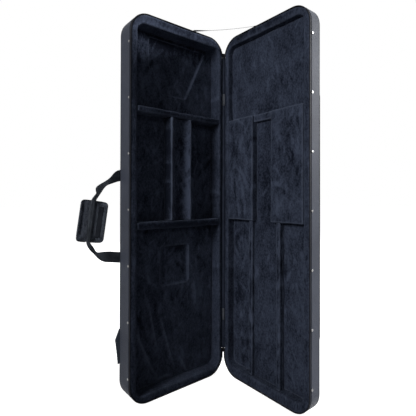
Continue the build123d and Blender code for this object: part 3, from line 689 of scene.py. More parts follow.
# Painted shade on the foam lips: darker along the spine edge and along the top end of each half.
lip_painted_shade = {
    "base": (
        (((0.004, 0.09), (0.004, 0.6), (0.004, 1.16)), 0.009, -0.95),
        (((0.04, 1.226), (0.2, 1.226), (0.35, 1.226)), 0.014, -0.6),
    ),
    "lid": (
        (((0.004, 0.3), (0.004, 0.8), (0.004, 1.16)), 0.006, -0.6),
        (((0.05, 1.226), (0.2, 1.226), (0.33, 1.226)), 0.01, -0.5),
    ),
}
for half in halves:
    plush_block(half + "_foam_lip", half, "rim_foam", voxel=0.0035, rounding=3, seed=3,
                strokes=160, marks=lip_painted_shade[half])


# Base lining. Foam blocks covered in plush: a long pad for the body, cross pieces, a cradle
# for the neck with a pocket on each side, and a pad with a shallow well for the headstock.
body_pad_depth, top_margin = 0.04, 0.005
patch_out, patch_up, patch_corner, patch_press = (0.13, 0.2445), (0.352, 0.484), 0.008, 0.003
folds = (
    # points (out, up) along each fold of the plush, then its height and half its width
    (((0.332, 0.241), (0.328, 0.189), (0.288, 0.098), (0.254, 0.038)), 0.0036, 0.007),
    (((0.291, 0.306), (0.278, 0.229), (0.259, 0.141)), 0.0026, 0.006),
    (((0.25, 0.262), (0.214, 0.137), (0.191, 0.064)), 0.0034, 0.007),
    (((0.168, 0.093), (0.134, 0.027)), 0.0022, 0.006),
    (((0.254, 0.038), (0.223, 0.042), (0.196, 0.03)), 0.0026, 0.006),
    (((0.3, 0.42), (0.292, 0.372), (0.262, 0.356)), 0.0018, 0.006),
    (((0.108, 0.352), (0.096, 0.3), (0.104, 0.238)), 0.0026, 0.01),
)
# Listed marks on the body pad. The thin lines round the pressed patch paint a highlight along its
# spine-side and lower edges and a shadow along its top edge. The broad pale line near the spine side
# paints the highlight of a low mound, and each fold gets a painted highlight along its ridge. The
# other lines make the pile paler or darker in patches.
body_pile_and_painted_light = (
    (((0.079, 0.352), (0.084, 0.3), (0.089, 0.247)), 0.016, 0.75),
    (((0.3, 0.47), (0.29, 0.4), (0.268, 0.35)), 0.013, 0.5),
    (((0.226, 0.372), (0.19, 0.38), (0.15, 0.366)), 0.012, 0.45),
    (((0.206, 0.476), (0.16, 0.47), (0.15, 0.44)), 0.014, -0.7),
    (((0.286, 0.21), (0.262, 0.12)), 0.012, 0.45),
    (((0.33, 0.3), (0.318, 0.2)), 0.014, -0.5),
    (((0.18, 0.14), (0.15, 0.07)), 0.018, 0.4),
    (((0.3, 0.06), (0.2, 0.016)), 0.01, 0.55),
    (((0.131, 0.48), (0.131, 0.356)), 0.0028, 1.1),
    (((0.24, 0.486), (0.136, 0.48)), 0.0045, -1.00),
    (((0.24, 0.354), (0.136, 0.352)), 0.0028, 0.45),
) + tuple((line, 0.006, 0.45) for line, height, width in folds)
# Listed marks on the head pad: broad painted shade under the top wall of the headstock well and down
# its outer side, and thin painted highlights along the well's lit edges. The other lines make the pile
# paler in patches.
head_pile_and_painted_light = (
    (((0.312, 1.11), (0.304, 1.05), (0.296, 0.99)), 0.016, 0.4),
    (((0.25, 1.06), (0.262, 0.99)), 0.014, 0.4),
    (((0.35, 1.185), (0.2, 1.185), (0.04, 1.185)), 0.026, -0.9),
    (((0.354, 1.19), (0.352, 1.11), (0.346, 1.04)), 0.03, -0.8),
    (((0.0512, 1.1935), (0.1362, 1.0135)), 0.0028, 1.2),
    (((0.1362, 1.0135), (0.2306, 1.01)), 0.0026, 0.7),
    (((0.2306, 1.01), (0.2712, 1.0936)), 0.003, 0.45),
    (((0.06, 1.01), (0.052, 0.96)), 0.012, 0.35),
)
# Painted shade: dark bands across the dividers, 0.56 and 0.93 up, as the shadows under their edges.
divider_painted_shade = (
    (((0.01, 0.56), (0.19, 0.56), (0.366, 0.56)), 0.022, -1.1),
    (((0.01, 0.93), (0.19, 0.93), (0.366, 0.93)), 0.012, -0.6),
)
# Painted light on the neck cradle: a pale line along the trough's lit spine-side wall, darker lines on
# its other side, and a dark band down the wall beside the outer pocket, which lies in shadow.
trough_painted_light = (
    (((0.16, 0.9), (0.157, 0.78), (0.158, 0.64), (0.156, 0.585)), 0.007, 0.8),
    (((0.18, 0.86), (0.176, 0.76)), 0.01, -0.6),
    (((0.186, 0.7), (0.18, 0.64), (0.19, 0.59)), 0.012, -0.55),
    (((0.226, 0.585), (0.226, 0.75), (0.226, 0.915)), 0.013, -0.9),
)
base_pieces = (
    # part, voxel, rounding, seed, strokes, marks
    ("head_pad", 0.003, 2, 7, 260, head_pile_and_painted_light),
    ("body_divider", 0.003, 3, 11, 30, divider_painted_shade),
    ("head_divider", 0.003, 3, 12, 30, divider_painted_shade),
    ("neck_support", 0.003, 3, 13, 90, trough_painted_light),
)


def press_folds(block, half, lines, top):
    """Raises soft folds in the pile, each with a hollow beside it, along lines on a pad's top."""
    points = read_vertices(block, "co")
    out, up, depth = on_face(points, half)
    lift = np.zeros(len(points))
    for line, height, width in lines:
        best, side, share = by_line(out, up, line)
        fade = np.sin(np.clip(share, 0.02, 0.98) * math.pi) ** 0.6
        ridge = np.exp(-(best / width) ** 2)
        hollow = np.exp(-((side + 1.6 * width) / width) ** 2) * np.exp(-(best / (2.4 * width)) ** 2)
        lift += fade * height * (ridge - 0.7 * hollow)
    lift[np.abs(depth - top) > top_margin] = 0
    points[:, 1 if half == "base" else 0] -= lift
    move_vertices(block, points)


def press_patch(block, top):
    """Presses a rectangle with round corners into the body pad, as a box has left it there."""
    points = read_vertices(block, "co")
    out, up, depth = on_face(points, "base")
    past = [np.maximum(np.abs(along - sum(ends) / 2) - (ends[1] - ends[0]) / 2 + patch_corner, 0)
            for along, ends in ((out, patch_out), (up, patch_up))]
    share = np.clip(0.5 - (np.hypot(*past) - patch_corner) / 0.004, 0, 1)
    share[np.abs(depth - top) > top_margin] = 0
    points[:, 1] += share * patch_press
    move_vertices(block, points)


body_pad = foam_block("body_pad_plush", "base_body_pad", voxel=0.0035, rounding=3)
press_patch(body_pad, body_pad_depth)
press_folds(body_pad, "base", folds, body_pad_depth)
finish_foam(body_pad, plush, "base", "plush", "base_body_pad", fill=0.8, unevenness=0.0011,
            seed=5)
tone_pile_and_paint_light(body_pad, "base", strokes=260, seed=5, marks=body_pile_and_painted_light)
for part, *rest in base_pieces:
    plush_block(part + "_plush", "base", part, *rest)


# Lid lining. Flat foam pads in plush that press on the instrument when the lid is shut: a
# centre pad, a block each side of the neck's channel, two long ribs and a ledge.
lid_floor_depth = 0.028
lid_folds = (
    (((0.312, 0.376), (0.327, 0.351), (0.34, 0.333)), 0.0026, 0.005),
    (((0.06, 0.052), (0.084, 0.045)), 0.0022, 0.004),
    (((0.096, 0.049), (0.116, 0.046)), 0.0018, 0.004),
    (((0.296, 0.056), (0.33, 0.05)), 0.0022, 0.005),
)
spine_block_marks = (
    (((0.063, 0.732), (0.07, 0.7), (0.088, 0.674)), 0.005, 0.55),
    (((0.041, 0.733), (0.044, 0.7), (0.037, 0.659)), 0.005, 0.6),
    (((0.033, 0.63), (0.026, 0.6), (0.02, 0.58)), 0.007, 0.7),
    (((0.052, 0.72), (0.062, 0.66), (0.071, 0.587)), 0.004, -0.75),
    (((0.075, 0.76), (0.095, 0.69), (0.108, 0.6)), 0.006, 0.6),
    (((0.087, 0.759), (0.108, 0.715), (0.123, 0.684)), 0.005, 0.65),
    (((0.091, 0.822), (0.112, 0.8), (0.123, 0.768)), 0.006, 0.5),
    (((0.064, 0.65), (0.078, 0.61), (0.08, 0.58)), 0.005, 0.55),
    (((0.09, 0.66), (0.1, 0.62), (0.1, 0.585)), 0.006, -0.6),
    (((0.04, 0.9), (0.05, 0.82), (0.048, 0.76)), 0.014, -0.45),
)
outer_block_marks = (
    (((0.232, 0.69), (0.236, 0.65), (0.232, 0.622)), 0.009, 0.45),
    (((0.318, 0.831), (0.33, 0.8), (0.332, 0.769)), 0.008, 0.5),
    (((0.29, 0.9), (0.3, 0.84)), 0.014, -0.35),
)
# Painted light on the lid's floor: a broad paler band along the outer side, and painted shade along
# the spine side.
lid_floor_painted_light = (
    (((0.33, 0.6), (0.33, 0.3), (0.33, 0.06)), 0.03, 0.28),
    (((0.06, 0.6), (0.06, 0.3), (0.06, 0.06)), 0.03, -0.18),
)
# Painted shade down the neck channel of the centre pad.
channel_painted_shade = ((((0.19, 0.95), (0.19, 0.75), (0.19, 0.56)), 0.05, -0.3),)
lid_pieces = (
    # part, voxel, rounding, seed, strokes, marks
    ("floor_pad", 0.0035, 3, 21, 520, lid_floor_painted_light),
    ("centre_pad", 0.003, 3, 22, 150, channel_painted_shade),
    ("spine_block", 0.003, 3, 23, 70, spine_block_marks),
    ("outer_block", 0.003, 3, 24, 90, outer_block_marks),
    ("channel_ledge", 0.0025, 3, 25, 8, ()),
    ("spine_rib", 0.0025, 3, 26, 60, ()),
    ("outer_rib", 0.0025, 3, 27, 60, ()),
)
for part, *rest in lid_pieces:
    block = plush_block(f"lid_{part}_plush", "lid", part, *rest)
    if part == "floor_pad":
        press_folds(block, "lid", lid_folds, lid_floor_depth)


# Hinge strip. A wide strip of heavy woven tape, sewn and glued to the spine of both halves.
# It folds along its middle, and a short paler tab lies over the fold near each end.
hinge_dark, hinge_light = (0.008, 0.011, 0.02), (0.024, 0.031, 0.052)
tab_dark, tab_light = (0.05, 0.056, 0.07), (0.105, 0.115, 0.135)
hinge_thick, tab_thick, tab_height = 0.0014, 0.001, 0.0444
hinge_row_step = 0.012
hinge_path = (
    (0.1902, -0.013), (0.1902, -0.025), (0.1903, -0.0335), (0.1909, -0.0372),
    (0.1922, -0.0394), (0.1945, -0.0406), (0.1985, -0.0411), (0.207, -0.0412),
    (0.2185, -0.0412))
tab_path = (
    (0.188, -0.0386), (0.1896, -0.0388), (0.1911, -0.0395), (0.1922, -0.0406),
    (0.1929, -0.042), (0.1931, -0.044))

webbing_relief, given, result = new_effect(
    "webbing_ribs", {"Vector": None, "Ribs": 600.0, "Picks": 500.0}, "Height")
axes = add_node(webbing_relief, "SeparateXYZ", {"Vector": given["Vector"]}).node.outputs
waves = []
for axis, label in (("X", "Ribs"), ("Y", "Picks")):
    times = maths(webbing_relief, "MULTIPLY", axes[axis], given[label])
    turns = maths(webbing_relief, "MULTIPLY", times, full_turn)
    waves.append(maths(webbing_relief, "SINE", turns))
both = maths(webbing_relief, "MULTIPLY_ADD", waves[1], 0.5, waves[0])
level = add_node(webbing_relief, "MapRange", {"Value": both, "From Min": -1.5, "From Max": 1.5})
feed(webbing_relief, result, {"Height": level})


def webbing_finish(name, dark, light, ribs, picks, relief, roughness):
    """Woven webbing: ribs that run along the strap, crossed by finer picks, worn pale in places."""
    finish, tree, shader = new_finish(name, roughness, Specular_IOR_Level=0.12)
    places = add_node(tree, "TexCoord", {}).node.outputs
    height = add_node(tree, "Group", {"Vector": places["UV"], "Ribs": ribs, "Picks": picks},
                      node_tree=webbing_relief)
    worn = add_node(tree, "Group", {"Vector": places["Object"], "Scale": 30.0, "Amount": 0.8},
                    node_tree=wear)
    dress(tree, shader, mixed(tree, worn, dark, light), height, 0.7, relief)
    return finish


def strap_along(name, rows, thickness):
    """A flat strap through rows of points, each row from one selvedge to the other. Its map is in
    metres, across and along, so that the ribs of the webbing keep their size."""
    across, along = len(rows[0]), len(rows)
    bpy.ops.mesh.primitive_grid_add(x_subdivisions=across - 1, y_subdivisions=along - 1, size=1)
    strap = bpy.context.object
    strap.name = name
    mesh = strap.data
    order = [(round((v.co.y + 0.5) * (along - 1)), round((v.co.x + 0.5) * (across - 1)))
             for v in mesh.vertices]
    run = [0.0]
    for first, second in pairs(rows):
        run.append(run[-1] + sum((b - a).length for a, b in zip(first, second)) / across)
    width = [0.0]
    for first, second in pairs(rows[along // 2]):
        width.append(width[-1] + (second - first).length)
    for vertex, (row, column) in zip(mesh.vertices, order):
        vertex.co = rows[row][column]
    for loop in mesh.loops:
        row, column = order[loop.vertex_index]
        mesh.uv_layers[0].data[loop.index].uv = (width[column], run[row])
    apply_modifier(strap, "SOLIDIFY", thickness=thickness, offset=0.0)
    strap.data.shade_smooth()
    return strap


def curved(name, points, resolution, closed=False, **settings):
    """The mesh of a smooth curve that bends through the given points, round if it has a bevel."""
    curve = bpy.data.curves.new(name, "CURVE")
    curve.dimensions = "3D"
    for setting, value in settings.items():
        setattr(curve, setting, value)
    spline = curve.splines.new("NURBS")
    spline.points.add(len(points) - 1)
    for knot, point in zip(spline.points, points):
        knot.co = (*point, 1)
    spline.order_u = 3
    spline.use_cyclic_u = closed
    spline.use_endpoint_u = not closed
    spline.resolution_u = resolution
    holder = bpy.data.objects.new(name + "_line", curve)
    mesh = bpy.data.meshes.new_from_object(holder)
    bpy.data.objects.remove(holder)
    bpy.data.curves.remove(curve)
    return mesh


def smooth_line(points, steps):
    """Evenly spaced points along a smooth curve that bends through the given ones."""
    mesh = curved("line", points, 12)
    dense = [Vector(v.co) for v in mesh.vertices]
    bpy.data.meshes.remove(mesh)
    reach = [0.0]
    for first, second in pairs(dense):
        reach.append(reach[-1] + (second - first).length)
    line = []
    for step in range(steps):
        goal = reach[-1] * step / (steps - 1)
        k = min(max(int(np.searchsorted(reach, goal)), 1), len(dense) - 1)
        share = (goal - reach[k - 1]) / max(reach[k] - reach[k - 1], 1e-9)
        line.append(dense[k - 1].lerp(dense[k], share))
    return line


def bent_strip(name, path, low, high, thickness, finish, start, end, *replaced):
    """A strip of tape from the base to the lid, bent round the path of points (x, y)."""
    steps = max(2, round((high - low) / hinge_row_step))
    across = smooth_line([Vector((x, y, 0)) for x, y in path], 15)
    rows = [[point + z_axis * (low + (high - low) * step / steps) for point in across]
            for step in range(steps + 1)]
    strip = strap_along(name, rows, thickness)
    finish_piece(strip, finish, None, "zip_tape", *replaced)
    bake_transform(strip)


hinge_cloth = webbing_finish("hinge_tape", hinge_dark, hinge_light, 420, 420, 0.0004, 0.7)
tab_cloth = webbing_finish("tab_tape", tab_dark, tab_light, 600, 600, 0.0004, 0.6)
bent_strip("hinge_strip", hinge_path, hinge_low, hinge_high, hinge_thick, hinge_cloth, 2, 6,
           "base_hinge_leaf", "lid_hinge_leaf")
tabs_low, tabs_high = (corner.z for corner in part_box("base_hinge_tabs"))
bent_strip("hinge_tab_lower", tab_path, tabs_low, tabs_low + tab_height, tab_thick, tab_cloth,
           1, 4, "base_hinge_tabs", "lid_hinge_tabs")
bent_strip("hinge_tab_upper", tab_path, tabs_high - tab_height, tabs_high, tab_thick, tab_cloth,
           1, 4)
for half, x, y, face in (("base", 0.191, -0.015, x_axis), ("lid", 0.2165, -0.0404, y_axis)):
    line = [Vector((x, y, z)) for z in np.arange(hinge_low, hinge_high, stitch_pitch)]
    stitch_row(f"hinge_stitches_{half}", line, face, half)


# Lid stay. A narrow black ribbon from the top of the base to the top of the lid, sewn under
# a small patch at each end, which stops the lid at a right angle. It hangs a little slack.
stay_width, stay_thick, stay_sag, stay_steps = 0.008, 0.0008, 0.005, 60
stay_turn_at_base, stay_turn_at_lid, stay_turn_share = 64.0, 27.0, 0.32
ribbon_dark, ribbon_light = (0.012, 0.012, 0.015), (0.035, 0.036, 0.042)
stay_from, stay_to = Vector((0.0475, -0.03, 1.2424)), Vector((0.2015, -0.204, 1.2424))

ribbon_cloth = webbing_finish("stay_ribbon", ribbon_dark, ribbon_light, 1500, 1200, 0.0002, 0.55)
level_side = z_axis.cross(stay_to - stay_from).normalized()
stay_rows = []
for step in range(stay_steps):
    share = step / (stay_steps - 1)
    middle = stay_from.lerp(stay_to, share) - z_axis * (stay_sag * 4 * share * (1 - share))
    turned = min(1, share / stay_turn_share)
    turned = turned * turned * (3 - 2 * turned)
    lean = math.radians(stay_turn_at_base + (stay_turn_at_lid - stay_turn_at_base) * turned)
    lean *= min(1, share / 0.05) * min(1, (1 - share) / 0.08)
    side = level_side * math.cos(lean) + z_axis * math.sin(lean)
    stay_rows.append([middle + side * stay_width * (k / 4 - 0.5) for k in range(5)])
stay = strap_along("stay_ribbon", stay_rows, stay_thick)
finish_piece(stay, ribbon_cloth, None, "webbing", "lid_stay")
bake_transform(stay)


def seam_along(corners):
    """Points a stitch apart along straight runs between corners, without the last corner."""
    line = []
    for first, second in pairs(corners):
        steps = max(2, round((second - first).length / stitch_pitch))
        line += [first.lerp(second, k / steps) for k in range(steps)]
    return line


def flat_patch(name, corners, facing, thickness, finish, body, slot, *replaced):
    """A sewn patch of cloth: four corners in order, filled evenly, with softly rounded edges."""
    shares = [k / 8 for k in range(9)]
    sides = [(corners[0].lerp(corners[3], share), corners[1].lerp(corners[2], share))
             for share in shares]
    rows = [[left.lerp(right, share) for share in shares] for left, right in sides]
    patch = strap_along(name, rows, thickness)
    apply_modifier(patch, "BEVEL", width=thickness * 0.3, segments=2, limit_method="ANGLE")
    patch.data.shade_smooth()
    finish_piece(patch, finish, body, slot, *replaced)
    loop = [corners[k].lerp(sum(corners, Vector()) / 4, 0.12) for k in (0, 1, 2, 3, 0)]
    raised = [point + facing * thickness * 0.6 for point in seam_along(loop) + loop[-1:]]
    stitch_row(name + "_stitches", raised, facing, body)


for half in halves:
    low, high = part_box(f"stay_{half}_anchor")
    corners = [Vector((x, y, (low.z + high.z) / 2)) for x, y in
               ((low.x, low.y), (high.x, low.y), (high.x, high.y), (low.x, high.y))]
    flat_patch(f"stay_patch_{half}", corners, z_axis, high.z - low.z, ribbon_cloth, half,
               "webbing", f"stay_{half}_anchor")


# Carry handle. One length of webbing, sewn flat to the back of the case at both ends. It
# bulges forward, turns over and folds in half, so that the grip is a narrow double strap.
web_thick, web_steps = 0.0014, 150
web_dark, web_light = (0.023, 0.027, 0.034), (0.08, 0.092, 0.112)
box_near, box_far, box_half, box_level = -0.172, -0.137, 0.015, 0.0387
handle_rows = (
    # one edge (x, z), the other edge (x, z), y, and how far the webbing is folded in half
    ((-0.132, 0.7446), (-0.132, 0.7071), 0.038, 0.0),
    ((-0.16, 0.7446), (-0.16, 0.7071), 0.038, 0.0),
    ((-0.186, 0.7446), (-0.186, 0.7071), 0.038, 0.0),
    ((-0.2083, 0.7356), (-0.2115, 0.6997), 0.031, 0.0),
    ((-0.2269, 0.7145), (-0.2356, 0.6919), 0.025, 0.0),
    ((-0.2477, 0.7001), (-0.2389, 0.6876), 0.029, 0.0),
    ((-0.2695, 0.6868), (-0.2422, 0.6823), 0.035, 0.0),
    ((-0.2722, 0.6777), (-0.2454, 0.6769), 0.037, 0.1),
    ((-0.2688, 0.6712), (-0.2486, 0.6712), 0.038, 0.85),
    ((-0.2752, 0.659), (-0.258, 0.6569), 0.038, 1.0),
    ((-0.2823, 0.6466), (-0.267, 0.6444), 0.038, 1.0),
    ((-0.2865, 0.6267), (-0.2702, 0.6264), 0.038, 1.0),
    ((-0.2906, 0.5838), (-0.2768, 0.5833), 0.038, 1.0),
    ((-0.2953, 0.5351), (-0.2834, 0.5344), 0.038, 1.0),
    ((-0.2976, 0.5139), (-0.286, 0.5131), 0.038, 0.9),
    ((-0.2933, 0.4984), (-0.2763, 0.5021), 0.037, 0.5),
    ((-0.2879, 0.486), (-0.267, 0.4824), 0.034, 0.1),
    ((-0.2722, 0.4685), (-0.258, 0.4828), 0.031, 0.0),
    ((-0.2499, 0.4514), (-0.2419, 0.4834), 0.03, 0.0),
    ((-0.2191, 0.4461), (-0.2193, 0.4814), 0.034, 0.0),
    ((-0.186, 0.44), (-0.186, 0.4747), 0.038, 0.0),
    ((-0.16, 0.439), (-0.16, 0.476), 0.038, 0.0),
    ((-0.132, 0.439), (-0.132, 0.476), 0.038, 0.0),
)
webbing = webbing_finish("handle_webbing", web_dark, web_light, 620, 450, 0.0005, 0.6)
first_edge = smooth_line([Vector((a[0], y, a[1])) for a, b, y, fold in handle_rows], web_steps)
other_edge = smooth_line([Vector((b[0], y, b[1])) for a, b, y, fold in handle_rows], web_steps)
fold_line = smooth_line([Vector((number, 0, row[3])) for number, row in enumerate(handle_rows)],
                        web_steps)
web_rows = []
for edge, other, fold in zip(first_edge, other_edge, fold_line):
    row = []
    for k in range(13):
        u = k / 6 - 1
        flat = edge.lerp(other, (u + 1) / 2)
        doubled = other.lerp(edge, u + 1) if u <= 0 else edge.lerp(other, u)
        doubled = doubled + y_axis * (web_thick * 0.75 * max(-1, min(1, 4 * u)))
        row.append(flat.lerp(doubled, fold.z))
    web_rows.append(row)
handle_strap = strap_along("handle_strap", web_rows, web_thick)
finish_piece(handle_strap, webbing, None, "webbing", "handle_webbing", "handle_anchors")
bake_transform(handle_strap)

for label, level in (("upper", 0.7258), ("lower", 0.4575)):
    corners = [Vector((x, box_level, level + z)) for x, z in
               ((box_near, -box_half), (box_far, -box_half), (box_far, box_half),
                (box_near, box_half))]
    line = seam_along([corners[k] for k in (0, 1, 2, 3, 0, 2, 3, 1)])
    stitch_row(f"handle_stitches_{label}", line, y_axis, "base")


# Wrap grip. A padded cloth wrap on the handle's middle, bound at its edge, with a flap each
# side that folds over the webbing and closes with hook and loop. Both flaps stand open.
pad_dark, pad_light = (0.022, 0.026, 0.034), (0.072, 0.082, 0.102)
binding_dark, binding_light = (0.03, 0.035, 0.045), (0.07, 0.08, 0.098)
hook_dark, hook_light = (0.012, 0.014, 0.019), (0.044, 0.05, 0.064)
wrap_lit_and_shaded_tones = {
    # painted light: both flaps are one cloth, the inner one given shaded colours and the outer one
    # lit, paler colours
    "inner": {"Dark": (0.014, 0.017, 0.024), "Light": (0.084, 0.096, 0.118),
              "Highlight": (0.13, 0.148, 0.18)},
    "outer": {"Dark": (0.03, 0.035, 0.046), "Light": (0.25, 0.28, 0.345),
              "Highlight": (0.22, 0.25, 0.3)},
}
wrap_painted_light = {
    # painted light on the flaps, mostly paler lines and one darker: points (out from the middle, up
    # the grip), half a width and a strength
    "inner": ((((0.019, 0.01), (0.019, 0.12)), 0.003, 0.8),
              (((0.045, 0.03), (0.047, 0.1)), 0.003, 0.6),
              (((0.022, 0.03), (0.03, 0.006)), 0.002, 0.8),
              (((0.026, 0.04), (0.036, 0.01)), 0.0016, 0.9),
              (((0.03, 0.122), (0.044, 0.118)), 0.002, 0.5)),
    "outer": ((((0.0175, 0.028), (0.0185, 0.075), (0.0165, 0.122)), 0.0045, 0.75),
              (((0.017, 0.022), (0.03, 0.006)), 0.0035, 0.8),
              (((0.026, 0.025), (0.027, 0.11)), 0.0045, -0.7)),
}
pad_cloth = woven_finish("pad_cloth", pad_dark, pad_light, 900, 0.0005, 0.7)
binding_cloth = woven_finish("binding_tape", binding_dark, binding_light, 1200, 0.0003, 0.65)
hook_cloth = woven_finish("hook_tape", hook_dark, hook_light, 700, 0.001, 0.8)

grip_foot = Vector((-0.2955, 0.038, 0.517))
grip_along = Vector((0.018, 0, 0.128)).normalized()
grip_across = Vector((0.128, 0, -0.018)).normalized()
wrap_tall, wrap_level, wrap_thick = 0.127, 0.0045, 0.0034
flap_start, flap_curl = 0.0149, math.radians(50)
wrap_corner, wrap_edge_round = 0.013, 0.0019
flap_rows, flap_columns, strip_rows, strip_columns = 46, 20, 32, 8
strip_lift, strip_wide, strip_tall, strip_thick = 0.0046, 0.016, 0.096, 0.0012
wraps = {
    # side, how far the flap reaches past the fold, its solids, and its hook or loop strip,
    # with the face that the strip is on and the node it stands for
    "inner": (1, 0.036, ("wrap_inner_flap", "wrap_core"), ("wrap_loop_tape", -1, "wrap_loop_strip")),
    "outer": (-1, 0.022, ("wrap_outer_flap",), ("wrap_hook_tape", 1, "wrap_hook_strip")),
}
puff_frames = 20


def wrap_point(label, path, height, lift):
    """A point of the wrap: along its section from the middle, up the grip, and off its surface."""
    side, reach = wraps[label][:2]
    bend = (reach - 0.002) / flap_curl
    angle = max(0.0, path - flap_start) / bend
    out = min(path, flap_start) + math.sin(angle) * (bend + lift)
    depth = wrap_level - bend + math.cos(angle) * (bend + lift)
    return grip_foot + grip_across * side * out + grip_along * height + y_axis * depth


def wrap_reach(label, height, inset):
    """How far the wrap reaches at a height, with its outer corners rounded."""
    full = flap_start + wraps[label][1] - inset
    corner = wrap_corner - inset
    near_end = corner - min(height - inset, wrap_tall - inset - height)
    if near_end <= 0:
        return full
    return full - corner + math.sqrt(max(0.0, corner ** 2 - near_end ** 2))


def puff(piece, pressure, most):
    """Fills a piece like a cushion: its skin is cloth under pressure, and no point moves far."""
    before = read_vertices(piece, "co")
    make_active(piece)
    filling = piece.modifiers.new("filling", "CLOTH")
    filling.settings.use_pressure = True
    filling.settings.uniform_pressure_force = pressure
    filling.settings.effector_weights.gravity = 0
    for number in range(1, puff_frames + 1):
        bpy.context.scene.frame_set(number)
    bpy.ops.object.modifier_apply(modifier=filling.name)
    bpy.context.scene.frame_set(1)
    moved = read_vertices(piece, "co") - before
    share = np.minimum(1, most / np.maximum(np.linalg.norm(moved, axis=1), 1e-9))
    move_vertices(piece, before + moved * share[:, None])


def round_tube(name, points, radius, finish, body, slot, closed, *replaced):
    """A round cord or bound edge along points, as a mesh."""
    mesh = curved(name, points, 2, closed, bevel_depth=radius, bevel_resolution=1,
                  use_fill_caps=True)
    mesh.shade_smooth()
    return finish_piece(add_object(name, mesh), finish, body, slot, *replaced)


for label, (side, reach, replaced, (strip_name, strip_face, strip_node)) in wraps.items():
    rows = []
    for height in (wrap_tall * step / flap_rows for step in range(flap_rows + 1)):
        end = wrap_reach(label, height, 0.0)
        rows.append([wrap_point(label, end * k / flap_columns, height, 0)
                     for k in range(flap_columns + 1)])
    flap = strap_along(f"wrap_{label}_pad", rows, wrap_thick)
    puff(flap, pressure=3.0, most=0.0022)
    points = read_vertices(flap, "co")
    crease = 0.55 * ripple(points, 0.03, 41 + side) + 0.45 * ripple(points, 0.014, 45 + side)
    move_vertices(flap, points + read_vertices(flap, "normal") * (crease * 0.0007)[:, None])
    from_foot = read_vertices(flap, "co") - np.array(grip_foot)
    out, up = from_foot @ np.array(grip_across) * side, from_foot @ np.array(grip_along)
    tone = np.zeros(len(out))
    for line, width, strength in wrap_painted_light[label]:
        tone += strength * np.exp(-(by_line(out, up, line)[0] / width) ** 2)
    mark_vertices(flap, "brush", tone)
    # Painted highlight: the bend mark makes each flap paler within 4 mm of its top and bottom ends.
    from_end = wrap_tall / 2 - np.abs(up - wrap_tall / 2)
    mark_vertices(flap, "bend", np.clip(1 - from_end / 0.004, 0, 1))
    flap_finish = plush_finish(f"wrap_{label}_cloth", **wrap_lit_and_shaded_tones[label])
    finish_piece(flap, flap_finish, None, "pad_cloth", *replaced)
    edge = [wrap_point(label, flap_start * 0.2, 0, 0)]
    for height in np.linspace(0, wrap_tall, 42):
        edge.append(wrap_point(label, wrap_reach(label, height, 0.0), height, 0))
    edge.append(wrap_point(label, flap_start * 0.2, wrap_tall, 0))
    bound = round_tube(f"wrap_{label}_binding", edge, wrap_edge_round, binding_cloth, None,
                       "pad_cloth", False)
    seam = [wrap_point(label, wrap_reach(label, height, 0.006), height, -wrap_thick * 0.75)
            for height in np.arange(0.007, wrap_tall - 0.007, stitch_pitch)]
    seams = stitch_row(f"wrap_{label}_stitches", seam, -y_axis, None)
    strip_middle = flap_start + (reach - 0.002) / 2
    rows = [[wrap_point(label, strip_middle + strip_wide * (k / strip_columns - 0.5),
                        wrap_tall / 2 + strip_tall * (step / strip_rows - 0.5),
                        strip_face * strip_lift)
             for k in range(strip_columns + 1)] for step in range(strip_rows + 1)]
    strip = strap_along(strip_name, rows, strip_thick)
    finish_piece(strip, hook_cloth, None, "hook_tape", strip_node)
    for piece in (flap, bound, seams, strip):
        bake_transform(piece)


# Backpack straps. Two padded straps that hang from a yoke on the back panel, each with a
# buckle and a length of webbing down to a cloth anchor that is sewn in at the side.
buckle_dark, buckle_light = (0.01, 0.01, 0.011), (0.022, 0.022, 0.024)
anchor_dark, anchor_light = (0.05, 0.061, 0.08), (0.095, 0.112, 0.142)
panel_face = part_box("base_outer_panel")[1].y
strap_head_up, strap_long, strap_wide = 0.915, 0.355, 0.058
strap_spread_top, strap_spread_foot = 0.042, 0.092
strap_foot_in, strap_foot_up = 0.023, 0.19
strap_bind_round, strap_web_half, strap_web_thick = 0.0026, 0.0125, 0.0016
yoke_seam_inset, strap_seam_inset = 0.012, 0.018
buckle_plastic = woven_finish("buckle_plastic", buckle_dark, buckle_light, 300, 0.00005, 0.4)
anchor_cloth = woven_finish("anchor_cloth", anchor_dark, anchor_light, 900, 0.0005, 0.65)


def round_loop(middle, across, along, wide, long_side, corner, spacing):
    """Points round a rectangle with round corners, in order, for a seam or a bound edge."""
    bends = []
    for number, (a, b) in enumerate(((1, 1), (-1, 1), (-1, -1), (1, -1))):
        bends.append([])
        for k in range(5):
            angle = math.radians(90 * number + 22.5 * k)
            out = a * (wide / 2 - corner) + corner * math.cos(angle)
            up = b * (long_side / 2 - corner) + corner * math.sin(angle)
            bends[-1].append(middle + across * out + along * up)
    points = []
    for bend, following in zip(bends, bends[1:] + bends[:1]):
        steps = max(1, round((following[0] - bend[-1]).length / spacing))
        points += bend + [bend[-1].lerp(following[0], k / steps) for k in range(1, steps)]
    return points


def soft_pad(name, node, finish, body, slot, block, filling, rests, last, press=None):
    """A filled cloth pad in the space of its solid: its voxel and rounding, its pressure and the
    most that it swells, the axis and level of the panel that it rests flat on, and then its fill,
    which is not used, its unevenness and seed. Another function may press it in before its last steps."""
    pad = foam_block(name, node, *block)
    puff(pad, *filling)
    points = read_vertices(pad, "co")
    axis, level = rests
    points[:, axis] = np.maximum(points[:, axis], level)
    if press:
        press(points)
    move_vertices(pad, points)
    finish_foam(pad, finish, body, slot, node, *last)


